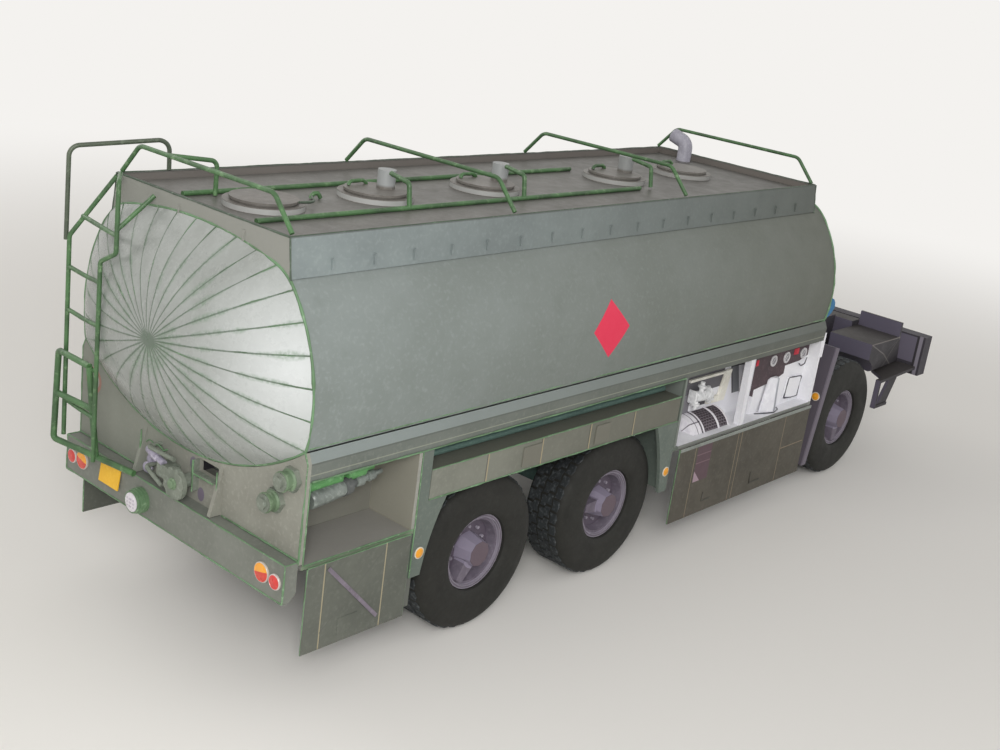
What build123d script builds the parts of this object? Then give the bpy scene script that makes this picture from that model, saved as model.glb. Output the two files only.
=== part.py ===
"""A six-wheeled fuel tanker as a glued card model, about 1:32, with no cab fitted.

Millimetres. +X is forward, +Y is the truck's left, +Z is up. The origin lies on the ground
under the middle of the whole length. Stations along the truck are counted forward from the
rear panel, and at() turns a station into X.
"""
import os

from build123d import *

# Overall layout, stations counted forward from the rear panel
REAR_X = -140.0
BODY_HALF = 39.0
CARD = 1.0
THIN_CARD = 0.5
SEAT_GAP = 0.2
FILM_GAP = 0.3

# Top box around the tank's crown
BOX_LENGTH = 200.6
RIB_COUNT = 17
RIB_FIRST = 10.3
RIB_PITCH = (BOX_LENGTH - 2 * RIB_FIRST - 1.3) / (RIB_COUNT - 1)
RIB_WIDTH = 0.5
RIB_PROUD = 0.3
REAR_RIB_SIDES = (-15.0, 6.0)

# Tank: a barrel with rounded shoulders and an edge along each lower corner, two domed heads
TANK_LENGTH = BOX_LENGTH + 4.4
TANK_TOP = 95.2
TANK_BOTTOM = 45.6
WAIST_HALF = BODY_HALF - 0.3
WAIST_Z = 71.5
CREST_HALF = WAIST_HALF - 13.7
CREST_Z = TANK_TOP - 2.8
SHOULDER_HALF = WAIST_HALF - 7.7
SHOULDER_Z = TANK_TOP - 6.5
CORNER_HALF = WAIST_HALF - 0.5
CORNER_Z = TANK_BOTTOM + 12.8
HEAD_CENTRE_Z = WAIST_Z - 0.6
REAR_HEAD_DEPTH = 10.4
FRONT_HEAD_DEPTH = 7.0
UPPER_GORES = 10
LOWER_GORES = 5

# Box walls and deck, tied to the tank's shoulder
BOX_BASE_HALF = SHOULDER_HALF - 1.1
BOX_TOP_HALF = BOX_BASE_HALF - 1.3
BOX_BASE_Z = SHOULDER_Z + 0.2
BOX_TOP_Z = TANK_TOP + 3.0
RIB_Z = (BOX_BASE_Z + 2.4, BOX_BASE_Z + 4.6)
DECK_TOP = BOX_TOP_Z - 1.7
DECK_THICK = 0.9

# Manholes and pipes on the deck
MANHOLE_FLANGE_R = 8.7
MANHOLE_FLANGE_THICK = 1.3
MANHOLE_NECK_R = 6.9
MANHOLE_NECK_HEIGHT = 1.6
MANHOLE_LID_R = 7.3
MANHOLE_LID_THICK = 0.5
BREATHER_R = 2.1
BREATHER_TOP = DECK_TOP + 6.4
PIPE_R = 0.55
PIPE_Y = MANHOLE_FLANGE_R + 3.5
PIPE_FIRST = 5.0
PIPE_LAST = 134.0
RISER_TOP = BREATHER_TOP + 0.1

# Hoops over the deck, bent from wire
WIRE_R = 0.5
HOOP_STATIONS = {"rear": 0.9, "mid_1": 64.5, "mid_2": 132.5, "front": BOX_LENGTH - 1.9}
HOOP_FOOT_HALF = BOX_TOP_HALF - 0.6
HOOP_CORNER_HALF = HOOP_FOOT_HALF - 6.0
HOOP_TOP = BOX_TOP_Z + 7.0
HOOP_BEND = 3.0
DECK_LOOP_START_Y = 12.0
DECK_LOOP_STATION = 12.0
DECK_LOOP_Y = 10.4

# Sill, a folded card strip along each side under the tank
SILL_CREASE_Y = BODY_HALF + 0.2
SILL_CREASE_Z = 56.0
SILL_TOP_Y = BODY_HALF - 1.0
SILL_TOP_Z = SILL_CREASE_Z + 2.6
ROOF_Z = SILL_CREASE_Z - 4.0
ROOF_INNER_Y = BODY_HALF - 13.0

# Wheels
REAR_AXLE = 58.4
MID_AXLE = 108.4
FRONT_AXLE = 236.7
AXLE_STATIONS = {"rear": REAR_AXLE, "mid": MID_AXLE, "front": FRONT_AXLE}
TYRE_R = 19.6
TYRE_WIDTH = 13.5
TYRE_OUTER_Y = BODY_HALF - 2.5
TYRE_INNER_Y = TYRE_OUTER_Y - TYRE_WIDTH
TYRE_SHOULDER = 1.6
TYRE_BEAD = 1.2
RIM_SEAT = 0.1
RIM_R = 9.4
RIM_FACE_Y = TYRE_OUTER_Y - 1.5
RIM_LIP = 0.8
RIM_STEP = 0.7
RIM_DISH = 3.2
DISH_R = RIM_R - 2.2
HUB_R = 4.1
HUB_TAPER = 10.5
HUB_SIDES = 9
HUB_FACE_Y = TYRE_OUTER_Y + 0.1
WEDGE_HALF_AT_HUB = 1.8
WEDGE_HALF_AT_RIM = 1.1
WEDGE_DEPTH = RIM_DISH + 0.2
WEDGE_ANGLES = {"rear": 235.0, "mid": 176.0, "front": 265.0}
STUB_R = 1.2
STUB_END_Y = HUB_FACE_Y - 5.6
RUNNING_GAP = 0.25
ARM_R = 2.4
ARM_END_GAP = 0.8
AXLE_Z = TYRE_R

# Chassis
TUBE_R = 4.0
TUBE_START = REAR_AXLE - 18.4
TUBE_END = FRONT_AXLE + 25.3
RAIL_Y = 13.0
RAIL_WIDTH = 3.0
RAIL_Z = (TANK_BOTTOM - 13.1, TANK_BOTTOM + 0.6)
RAIL_START = 7.3
SADDLE_STATIONS = (TUBE_START - 10.0, MID_AXLE - 25.4, MID_AXLE + 51.6, TUBE_END - 6.0)
SADDLE_LENGTH = 5.0
SADDLE_Z = (RAIL_Z[0] + 3.5, RAIL_Z[1] - 1.0)

# Rear bumper and rear panel
BUMPER_DEPTH = 3.3
BUMPER_Z = (26.6, 35.2)
BUMPER_CHAMFER = 1.6
PANEL_BOTTOM = BUMPER_Z[1] - 0.8
GUSSET_Y = 13.0
GUSSET_TOP = PANEL_BOTTOM + 11.6
PANEL_HOLE_Y = (-12.4, -6.0)
PANEL_HOLE_Z = (PANEL_BOTTOM + 8.0, PANEL_BOTTOM + 10.8)

# Lockers, fenders and pump cabinets
FENDER_SPAN = (REAR_AXLE - 22.6, MID_AXLE + 21.8)
FENDER_Z = (40.0, 47.0)
FENDER_INNER_Y = BODY_HALF - 12.0
LOCKER_SPAN = (CARD, FENDER_SPAN[0] - 3.6)
LOCKER_FLOOR_Z = PANEL_BOTTOM - 0.4
LOCKER_INNER_Y = BODY_HALF - 14.0
PUMP_SPAN = (FENDER_SPAN[1] + 0.8, FRONT_AXLE - 30.7)
PUMP_FLOOR_Z = LOCKER_FLOOR_Z - 2.0
PUMP_STEP = PUMP_SPAN[0] + 45.0
PUMP_DEEP_Y = BODY_HALF - 8.5
PUMP_SHALLOW_Y = BODY_HALF - 4.0
PUMP_BAR = (PUMP_SPAN[0] + 33.6, PUMP_SPAN[0] + 36.0)
PUMP_STRIP_Z = (ROOF_Z - 5.5, ROOF_Z + 2.3)
HOSE_R = 0.85
HOSE_Y = BODY_HALF - 5.5

# Arched corner plates behind and before the rear wheels, with their flaps
REAR_POST_START = LOCKER_SPAN[1] + SEAT_GAP
MID_POST_END = PUMP_SPAN[0] - SEAT_GAP
POST_TOP = FENDER_Z[0] - SEAT_GAP
REAR_POST_BOTTOM = 22.0
MID_POST_BOTTOM = 19.6
FLAP_OUTER_Y = BODY_HALF - 1.5
FLAP_INNER_Y = BODY_HALF - 15.0
REAR_FLAP_DROP = 8.0
FRONT_FLAP_FOOT = FRONT_AXLE - 27.0
FRONT_FLAP_LEAN = 6.6
FRONT_FLAP_THICK = 2.3
FRONT_FLAP_Z = (9.5, 47.5)
FLAP_BRACKET_Z = (RAIL_Z[0] + 1.5, RAIL_Z[0] + 7.5)
MARKER_R = 1.3
MARKER_THICK = 0.4

# Drop-down doors, hinged along their top edge as they hang
HINGE_Y = BODY_HALF + 1.0
DOOR_THICK = 0.8
HINGE_DROP = 0.3
LOCKER_DOOR_SPAN = (LOCKER_SPAN[0] + 0.8, LOCKER_SPAN[1] - 1.6)
LOCKER_DOOR_DROP = 19.8
PUMP_DOOR_SPAN = (PUMP_SPAN[0] + 2.2, PUMP_SPAN[1] - 1.2)
PUMP_DOOR_DROP = 22.6

# Front end
WING_SPAN = (FRONT_AXLE + 10.8, FRONT_AXLE + 31.8)
WING_Y = (BODY_HALF - 18.0, BODY_HALF - 2.4)
WING_TOP = 43.8
WING_REAR_BOTTOM = 34.0
WING_FOOT_Y = BODY_HALF - 8.5
ARCH_R = TYRE_R + 2.0
UPSTAND_TOP = WING_TOP + 5.0
WALL_START = FRONT_AXLE + 25.7
WALL_TOP = WING_TOP + 1.8
STEP_TOP = 30.6
STEP_SPAN = (FRONT_AXLE + 18.3, FRONT_AXLE + 48.1)
STEP_INNER_Y = BODY_HALF - 7.8
STEP_CLEAR_Y = BODY_HALF - 1.7
LOWER_STEP_Z = STEP_TOP - 10.1
BUMPER_FRONT_START = FRONT_AXLE + 48.3
BUMPER_FRONT_DEPTH = 5.4
BUMPER_FRONT_Z = (27.5, 41.6)


def at(station):
    """X of a station counted forward from the rear panel."""
    return REAR_X + station


def slab(stations, sides, heights, mode=Mode.ADD):
    """A straight card block between two stations, two Y values and two heights."""
    x_size, y_size, z_size = (abs(span[1] - span[0]) for span in (stations, sides, heights))
    centre = (at(sum(stations) / 2), sum(sides) / 2, sum(heights) / 2)
    with Locations(centre):
        Box(x_size, y_size, z_size, mode=mode)


def across(station, centre, length, radius, sides=0):
    """A disc running forward from one station, or a prism where a number of sides is given."""
    with BuildSketch(Plane.YZ.offset(at(station))) as face:
        with Locations(centre):
            if sides:
                RegularPolygon(radius, sides)
            else:
                Circle(radius)
    extrude(face.sketch, amount=length)


def side_plate(points, outer_y, thickness):
    """A card plate drawn in station and height, its outer face at one Y."""
    with BuildSketch(Plane.XZ.offset(-outer_y)) as face:
        Polygon(*[(at(s), z) for s, z in points], align=None)
    extrude(face.sketch, amount=thickness)


def wire_run(points, bend, radius):
    """A round wire along straight runs joined by tangent arcs, added to the current piece."""
    with BuildLine() as route:
        if len(points) > 2:
            FilletPolyline(*points, radius=bend)
        else:
            Line(*points)
    with BuildSketch(Plane(origin=route.line @ 0, z_dir=route.line % 0)) as section:
        Circle(radius)
    sweep(section.sketch, path=route.line)


def write(piece, name):
    """Label a finished piece and write its file."""
    piece.part.label = name
    export_step(piece.part, f"parts/{name}.step")


# Half of the tank's outline in local Y and Z: tangent arcs from crown to lower corner, then the keel's arc
with BuildLine() as upper_outline:
    crown = TangentArc((0, TANK_TOP), (CREST_HALF, CREST_Z), tangent=(1, 0))
    shoulder = TangentArc(crown @ 1, (SHOULDER_HALF, SHOULDER_Z), tangent=crown % 1)
    flank = TangentArc(shoulder @ 1, (WAIST_HALF, WAIST_Z), tangent=shoulder % 1)
    TangentArc(flank @ 1, (CORNER_HALF, CORNER_Z), tangent=flank % 1)
with BuildLine() as lower_outline:
    keel = TangentArc((0, TANK_BOTTOM), (CORNER_HALF, CORNER_Z), tangent=(1, 0))

upper_wire = upper_outline.wires()[0]
gore_points = [upper_wire @ (i / UPPER_GORES) for i in range(UPPER_GORES + 1)]
gore_points += [keel @ (1 - i / LOWER_GORES) for i in range(1, LOWER_GORES + 1)]
rim_points = [(p.X, p.Y) for p in gore_points]
rim_points += [(-y, z) for y, z in reversed(rim_points[1:-1])]


def tank_section(station, grow=0.0):
    """The tank's full outline at one station, grown outward by a clearance."""
    with BuildSketch(Plane.YZ.offset(at(station))) as section:
        with BuildLine():
            for half in (upper_outline.line, lower_outline.line):
                add(half)
                mirror(half, about=Plane.YZ)
        make_face()
        if grow:
            offset(amount=grow)
    return section.sketch


def tank_cut(stations, grow=FILM_GAP):
    """Take the tank's own space out of the current piece."""
    length = stations[1] - stations[0]
    extrude(tank_section(stations[0], grow), amount=length, mode=Mode.SUBTRACT)


# Shares of the rim outline at which each head is sectioned, from rim to apex
HEAD_SHARES = (1.0, 0.93, 0.84, 0.7, 0.5, 0.27, 0.03)


def gored_head(rim_x, depth):
    """A domed head pieced from flat gores. A negative depth faces the rear."""
    levels = []
    for share in HEAD_SHARES:
        outline = [(y * share, HEAD_CENTRE_Z + (z - HEAD_CENTRE_Z) * share) for y, z in rim_points]
        with BuildSketch(Plane.YZ.offset(rim_x + depth * (1 - share ** 2))) as level:
            Polygon(*outline, align=None)
        levels.append(level.sketch)
    loft(levels, ruled=True)


os.makedirs("parts", exist_ok=True)

# Tank barrel
with BuildPart() as tank_barrel:
    extrude(tank_section(0), amount=TANK_LENGTH)
write(tank_barrel, "tank_barrel")

# Rear head
with BuildPart() as rear_head:
    gored_head(at(0), -REAR_HEAD_DEPTH)
write(rear_head, "rear_head")

# Front head
with BuildPart() as front_head:
    gored_head(at(TANK_LENGTH), FRONT_HEAD_DEPTH)
write(front_head, "front_head")

# Top box: four flared walls standing on the tank, with short upright ribs on the outside
wall_slope = (BOX_BASE_HALF - BOX_TOP_HALF) / (BOX_TOP_Z - BOX_BASE_Z)
inner_half = BOX_TOP_HALF - CARD
rib_y = BOX_BASE_HALF - wall_slope * (RIB_Z[0] - BOX_BASE_Z)
with BuildPart() as top_box:
    with BuildSketch(Plane.YZ.offset(at(0))):
        Polygon((-BOX_BASE_HALF, BOX_BASE_Z), (BOX_BASE_HALF, BOX_BASE_Z),
                (BOX_TOP_HALF, BOX_TOP_Z), (-BOX_TOP_HALF, BOX_TOP_Z), align=None)
    extrude(amount=BOX_LENGTH)
    slab((CARD, BOX_LENGTH - CARD), (-inner_half, inner_half), (BOX_BASE_Z - 1, BOX_TOP_Z + 1),
         mode=Mode.SUBTRACT)
    tank_cut((-1, BOX_LENGTH + 1), SEAT_GAP)
    for side in (-1, 1):
        for i in range(RIB_COUNT):
            station = RIB_FIRST + i * RIB_PITCH
            slab((station - RIB_WIDTH / 2, station + RIB_WIDTH / 2),
                 (side * (rib_y - CARD / 2), side * (rib_y + RIB_PROUD)), RIB_Z)
    for y in REAR_RIB_SIDES:
        slab((-RIB_PROUD, CARD / 2), (y - RIB_WIDTH / 2, y + RIB_WIDTH / 2),
             (BOX_TOP_Z - 4.0, BOX_TOP_Z - 1.8))
write(top_box, "top_box")

# Deck inside the top box
deck_half = inner_half - SEAT_GAP
with BuildPart() as deck:
    slab((CARD + SEAT_GAP, BOX_LENGTH - CARD - SEAT_GAP), (-deck_half, deck_half),
         (DECK_TOP - DECK_THICK, DECK_TOP))
write(deck, "deck")

# Manholes: flange, neck and lid in one turning, with a breather on three of them
# columns: station, breather offset forward of the centre, or None
MANHOLES = ((16.6, None), (48.4, 3.0), (85.3, 5.0), (138.5, 4.5), (171.3, None))
stand = (Align.CENTER, Align.CENTER, Align.MIN)
with BuildPart() as manholes:
    for station, breather_offset in MANHOLES:
        with Locations((at(station), 0, DECK_TOP)):
            Cylinder(MANHOLE_FLANGE_R, MANHOLE_FLANGE_THICK, align=stand)
            Cylinder(MANHOLE_NECK_R, MANHOLE_NECK_HEIGHT, align=stand)
        with Locations((at(station), 0, DECK_TOP + MANHOLE_NECK_HEIGHT)):
            Cylinder(MANHOLE_LID_R, MANHOLE_LID_THICK, align=stand)
        if breather_offset:
            with Locations((at(station + breather_offset), 0, DECK_TOP + MANHOLE_NECK_HEIGHT)):
                Cylinder(BREATHER_R, BREATHER_TOP - DECK_TOP - MANHOLE_NECK_HEIGHT, align=stand)
write(manholes, "manholes")

# Deck pipes: a run along each side of the manholes, and a riser to each breather
pipe_z = DECK_TOP + PIPE_R
with BuildPart() as deck_pipes:
    for side in (-1, 1):
        with BuildSketch(Plane.YZ.offset(at(PIPE_FIRST))):
            with Locations((side * PIPE_Y, pipe_z)):
                Circle(PIPE_R)
        extrude(amount=PIPE_LAST - PIPE_FIRST)
    for station, breather_offset in MANHOLES:
        if breather_offset:
            riser_x = at(station + breather_offset - BREATHER_R - 2.0)
            breather_x = at(station + breather_offset)
            wire_run([(riser_x, -PIPE_Y, pipe_z), (riser_x, -PIPE_Y + 0.8, RISER_TOP - 0.6),
                      (breather_x - BREATHER_R - 0.8, -BREATHER_R - 2.2, RISER_TOP)], 1.0, PIPE_R)
write(deck_pipes, "deck_pipes")

# Hoops over the deck, the rear one with a loop down to the deck
hoop_foot_z = BOX_TOP_Z + WIRE_R
for place, station in HOOP_STATIONS.items():
    x = at(station)
    with BuildPart() as hoop:
        wire_run([(x, -HOOP_FOOT_HALF, hoop_foot_z), (x, -HOOP_CORNER_HALF, HOOP_TOP),
                  (x, HOOP_CORNER_HALF, HOOP_TOP), (x, HOOP_FOOT_HALF, hoop_foot_z)],
                 HOOP_BEND, WIRE_R)
        if place == "rear":
            wire_run([(x, DECK_LOOP_START_Y, HOOP_TOP),
                      (at(DECK_LOOP_STATION), DECK_LOOP_Y, HOOP_TOP - 1.2),
                      (at(DECK_LOOP_STATION), DECK_LOOP_Y, DECK_TOP + SEAT_GAP)], 1.6, WIRE_R)
    write(hoop, f"hoop_{place}")

# Vent elbow near the deck's front left corner
VENT_R = 2.2
VENT_BEND_Z = DECK_TOP + 5.5
vent_x = at(BOX_LENGTH - 5.3)
vent_y = BOX_TOP_HALF - 13.1
with BuildPart() as vent_elbow:
    wire_run([(vent_x, vent_y, DECK_TOP), (vent_x, vent_y, VENT_BEND_Z),
              (vent_x, vent_y + 5.0, VENT_BEND_Z + 1.6)], 2.6, VENT_R)
write(vent_elbow, "vent_elbow")

# Ladder on the rear: two long rails with rungs, then a leaning top section
RAIL_LEFT = (-7.6, BODY_HALF - 5.2)
RAIL_RIGHT = (-8.5, BODY_HALF - 18.6)
GRAB_ROD = (-8.4, BODY_HALF - 24.0)
BOX_CORNER = (-0.9, BOX_TOP_HALF - 1.4)
LADDER_BEND_Z = SHOULDER_Z - 4.9
RUNG_HEIGHTS = (46.5, 57.2, 67.4, 77.0)
with BuildPart() as ladder:
    wire_run([(at(RAIL_LEFT[0]), RAIL_LEFT[1], BUMPER_Z[1] + 2.8),
              (at(RAIL_LEFT[0]), RAIL_LEFT[1], LADDER_BEND_Z),
              (at(BOX_CORNER[0]), BOX_CORNER[1], BOX_TOP_Z - 0.4)], 2.0, WIRE_R)
    wire_run([(at(RAIL_RIGHT[0]), RAIL_RIGHT[1], BUMPER_Z[1] + 1.2),
              (at(RAIL_RIGHT[0]), RAIL_RIGHT[1], LADDER_BEND_Z - 2.2),
              (at(GRAB_ROD[0]), GRAB_ROD[1], LADDER_BEND_Z + 0.8),
              (at(GRAB_ROD[0]), GRAB_ROD[1], BOX_TOP_Z + 1.4),
              (at(BOX_CORNER[0]), BOX_CORNER[1] - 1.4, BOX_TOP_Z + 0.4)], 1.2, WIRE_R)
    wire_run([(at(GRAB_ROD[0]), GRAB_ROD[1], BOX_TOP_Z - 8.6),
              (at(-0.8), GRAB_ROD[1] - 1.4, BOX_TOP_Z - 1.6)], 0, WIRE_R)
    wire_run([(at(-5.6), RAIL_LEFT[1] - 1.8, SHOULDER_Z - 0.4),
              (at(GRAB_ROD[0]), GRAB_ROD[1], SHOULDER_Z - 0.4)], 0, WIRE_R)
    for z in RUNG_HEIGHTS:
        wire_run([(at(RAIL_LEFT[0]), RAIL_LEFT[1], z), (at(RAIL_RIGHT[0]), RAIL_RIGHT[1], z)],
                 0, WIRE_R)
write(ladder, "ladder")

# Lower ladder section of thicker rod behind the rails, with its long foot bar
ROD_R = 0.7
ROD_STATION = RAIL_LEFT[0] - WIRE_R - ROD_R - SEAT_GAP
FOOT_BAR_Z = BUMPER_Z[1] + ROD_R
STEP_RUNG_Z = FOOT_BAR_Z + 12.0
SECTION_TOP = FOOT_BAR_Z + 22.0
outer_rod_y = RAIL_LEFT[1] + 1.8
inner_rod_y = RAIL_RIGHT[1] + 1.9
with BuildPart() as ladder_step:
    wire_run([(at(-BUMPER_DEPTH - ROD_R), RAIL_RIGHT[1] - 8.9, FOOT_BAR_Z),
              (at(ROD_STATION), outer_rod_y, FOOT_BAR_Z + 0.8),
              (at(ROD_STATION), outer_rod_y - 1.2, SECTION_TOP),
              (at(ROD_STATION), inner_rod_y, SECTION_TOP)], 0.9, ROD_R)
    wire_run([(at(ROD_STATION), inner_rod_y, SECTION_TOP),
              (at(ROD_STATION + 2.4), inner_rod_y, FOOT_BAR_Z + 0.4)], 0, ROD_R)
    wire_run([(at(ROD_STATION), outer_rod_y - 0.7, STEP_RUNG_Z),
              (at(ROD_STATION + 1.1), inner_rod_y, STEP_RUNG_Z)], 0, ROD_R)
write(ladder_step, "ladder_step")

# Hand hoop beside the ladder's top, running forward to the top box
HAND_HOOP_Y = RAIL_LEFT[1] + 1.3
hoop_end_y = BOX_TOP_HALF - 0.5
with BuildPart() as ladder_hoop:
    wire_run([(at(RAIL_LEFT[0]), HAND_HOOP_Y, LADDER_BEND_Z - 1.2),
              (at(RAIL_LEFT[0]), HAND_HOOP_Y - 0.2, BOX_TOP_Z + 4.6),
              (at(12.5), hoop_end_y, HOOP_TOP - 0.2),
              (at(12.7), hoop_end_y, BOX_TOP_Z + SEAT_GAP)], 2.4, WIRE_R)
write(ladder_hoop, "ladder_hoop")

# Sills: a folded strip per side with a flat roof flange under it
with BuildPart() as sills:
    with BuildSketch(Plane.YZ.offset(at(CARD))):
        Polygon((SILL_CREASE_Y - 0.2, ROOF_Z), (SILL_CREASE_Y, SILL_CREASE_Z),
                (SILL_TOP_Y, SILL_TOP_Z), (SILL_TOP_Y - 1.2, SILL_TOP_Z),
                (SILL_CREASE_Y - 1.3, SILL_CREASE_Z), (SILL_CREASE_Y - 1.3, ROOF_Z + CARD),
                (ROOF_INNER_Y, ROOF_Z + CARD), (ROOF_INNER_Y, ROOF_Z), align=None)
    extrude(amount=PUMP_SPAN[1] - CARD)
    tank_cut((-1, PUMP_SPAN[1] + 1))
    mirror(about=Plane.XZ)
write(sills, "sills")

# Backbone tube with an arm and a stub axle to each wheel
with BuildPart() as backbone:
    with BuildSketch(Plane.YZ.offset(at(TUBE_START))):
        with Locations((0, AXLE_Z)):
            Circle(TUBE_R)
    extrude(amount=TUBE_END - TUBE_START)
    for station in AXLE_STATIONS.values():
        with BuildSketch(Plane.XZ):
            with Locations((at(station), AXLE_Z)):
                Circle(ARM_R)
        extrude(amount=TYRE_INNER_Y - ARM_END_GAP, both=True)
        with BuildSketch(Plane.XZ):
            with Locations((at(station), AXLE_Z)):
                Circle(STUB_R)
        extrude(amount=STUB_END_Y, both=True)
write(backbone, "backbone")

# Frame rails under the tank
with BuildPart() as frame_rails:
    for side in (-1, 1):
        slab((RAIL_START, TUBE_END),
             (side * (RAIL_Y - RAIL_WIDTH / 2), side * (RAIL_Y + RAIL_WIDTH / 2)), RAIL_Z)
write(frame_rails, "frame_rails")

# Saddles that hang the backbone tube from the rails
with BuildPart() as saddles:
    saddle_half = RAIL_Y - RAIL_WIDTH / 2 - SEAT_GAP
    for station in SADDLE_STATIONS:
        span = (station - SADDLE_LENGTH / 2, station + SADDLE_LENGTH / 2)
        slab(span, (-saddle_half, saddle_half), SADDLE_Z)
        slab(span, (-TUBE_R, TUBE_R), (AXLE_Z, SADDLE_Z[0] + CARD))
    with BuildSketch(Plane.YZ.offset(at(0))):
        with Locations((0, AXLE_Z)):
            Circle(TUBE_R + SEAT_GAP)
    extrude(amount=TUBE_END + SADDLE_LENGTH, mode=Mode.SUBTRACT)
write(saddles, "saddles")

# Wheels: a tyre, and a stepped rim with a faceted hub and a wedge from hub to rim
bore_r = STUB_R + RUNNING_GAP
bore_end_y = STUB_END_Y + RUNNING_GAP
dish_y = RIM_FACE_Y - RIM_DISH
for place, station in AXLE_STATIONS.items():
    for hand, side in (("right", -1), ("left", 1)):
        wheel_axis = Axis((at(station), 0, AXLE_Z), (0, 1, 0))
        wheel_plane = Plane((at(station), 0, AXLE_Z), x_dir=(0, side, 0), z_dir=(1, 0, 0))
        dish_plane = Plane((at(station), side * dish_y, AXLE_Z), x_dir=(1, 0, 0), z_dir=(0, side, 0))
        with BuildPart() as tyre:
            with BuildSketch(wheel_plane):
                Polygon((TYRE_INNER_Y, RIM_R + RIM_SEAT), (TYRE_OUTER_Y - TYRE_BEAD, RIM_R + RIM_SEAT),
                        (TYRE_OUTER_Y, RIM_R + TYRE_SHOULDER), (TYRE_OUTER_Y, TYRE_R - TYRE_SHOULDER),
                        (TYRE_OUTER_Y - TYRE_SHOULDER, TYRE_R),
                        (TYRE_INNER_Y + TYRE_SHOULDER, TYRE_R),
                        (TYRE_INNER_Y, TYRE_R - TYRE_SHOULDER), align=None)
            revolve(axis=wheel_axis)
        write(tyre, f"tyre_{place}_{hand}")
        with BuildPart() as rim:
            with BuildSketch(wheel_plane):
                Polygon((TYRE_INNER_Y, bore_r), (TYRE_INNER_Y, RIM_R), (RIM_FACE_Y, RIM_R),
                        (RIM_FACE_Y, RIM_R - RIM_LIP), (RIM_FACE_Y - RIM_STEP, RIM_R - RIM_LIP),
                        (RIM_FACE_Y - RIM_STEP, RIM_R - 2 * RIM_LIP),
                        (dish_y, DISH_R), (dish_y, 0), (bore_end_y, 0), (bore_end_y, bore_r),
                        align=None)
            revolve(axis=wheel_axis)
            with BuildSketch(dish_plane):
                RegularPolygon(HUB_R, HUB_SIDES)
            extrude(amount=HUB_FACE_Y - dish_y, taper=HUB_TAPER)
            with BuildSketch(dish_plane):
                Polygon((HUB_R - 1.0, -WEDGE_HALF_AT_HUB), (DISH_R + RIM_LIP, -WEDGE_HALF_AT_RIM),
                        (DISH_R + RIM_LIP, WEDGE_HALF_AT_RIM), (HUB_R - 1.0, WEDGE_HALF_AT_HUB),
                        rotation=-side * WEDGE_ANGLES[place], align=None)
            extrude(amount=WEDGE_DEPTH)
        write(rim, f"rim_{place}_{hand}")

# Rear panel with a hole under the tank between two gussets
with BuildPart() as rear_cabinet:
    with BuildSketch(Plane.YZ.offset(at(0))):
        Polygon((-BODY_HALF, PANEL_BOTTOM), (BODY_HALF, PANEL_BOTTOM),
                (SILL_CREASE_Y, SILL_CREASE_Z), (SILL_TOP_Y, SILL_TOP_Z),
                (-SILL_TOP_Y, SILL_TOP_Z), (-SILL_CREASE_Y, SILL_CREASE_Z), align=None)
    extrude(amount=CARD)
    slab((-CARD, 2 * CARD), PANEL_HOLE_Y, PANEL_HOLE_Z, mode=Mode.SUBTRACT)
    for y in (-GUSSET_Y, GUSSET_Y + CARD):
        side_plate(((0, GUSSET_TOP), (0, BUMPER_Z[1] + SEAT_GAP), (-2.8, BUMPER_Z[1] + SEAT_GAP)),
                   y, CARD)
    tank_cut((-1, 2 * CARD))
write(rear_cabinet, "rear_cabinet")

# Fittings on the rear panel: a hand wheel, a tap box, two bars, an edged pocket, two couplings
WHEEL_CENTRE = (-3.4, 39.4)
TAP_BOX_Y = (0.4, 4.4)
TAP_BOX_Z = (38.3, 41.2)
COUPLINGS = ((-35.4, 51.8), (-31.1, 45.7))
BAR_STATION = -3.3
with BuildPart() as rear_fittings:
    across(-3.6, WHEEL_CENTRE, 3.6, 1.5)
    across(-4.4, WHEEL_CENTRE, 0.8, 3.6)
    across(-4.8, WHEEL_CENTRE, 0.4, 1.0)
    slab((BAR_STATION, 0), TAP_BOX_Y, TAP_BOX_Z)
    wire_run([(at(0), 7.7, 43.6), (at(BAR_STATION), 7.7, 43.6), (at(BAR_STATION), -1.7, 43.9)],
             0.8, WIRE_R)
    wire_run([(at(0), 8.3, 38.8), (at(BAR_STATION), 8.3, 38.8), (at(BAR_STATION), 2.2, 36.5)],
             0.8, WIRE_R)
    slab((-1.4, 0), (PANEL_HOLE_Y[1], PANEL_HOLE_Y[1] + THIN_CARD), (PANEL_BOTTOM + 3.6, GUSSET_TOP - 1.0))
    slab((-1.4, 0), (PANEL_HOLE_Y[0], PANEL_HOLE_Y[1]), (PANEL_HOLE_Z[0] - THIN_CARD, PANEL_HOLE_Z[0]))
    for centre in COUPLINGS:
        across(-1.1, centre, 1.1, 2.7, 6)
        across(-3.6, centre, 2.5, 1.9)
        across(-4.1, centre, 0.5, 1.2)
write(rear_fittings, "rear_fittings")

# Rear bumper box
with BuildPart() as rear_bumper:
    slab((-BUMPER_DEPTH, 0), (-BODY_HALF, BODY_HALF), BUMPER_Z)
    bottom_edges = rear_bumper.edges().filter_by(Axis.Y).group_by(Axis.Z)[0]
    chamfer(bottom_edges.sort_by(Axis.X)[-1], BUMPER_CHAMFER)
write(rear_bumper, "rear_bumper")

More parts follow.
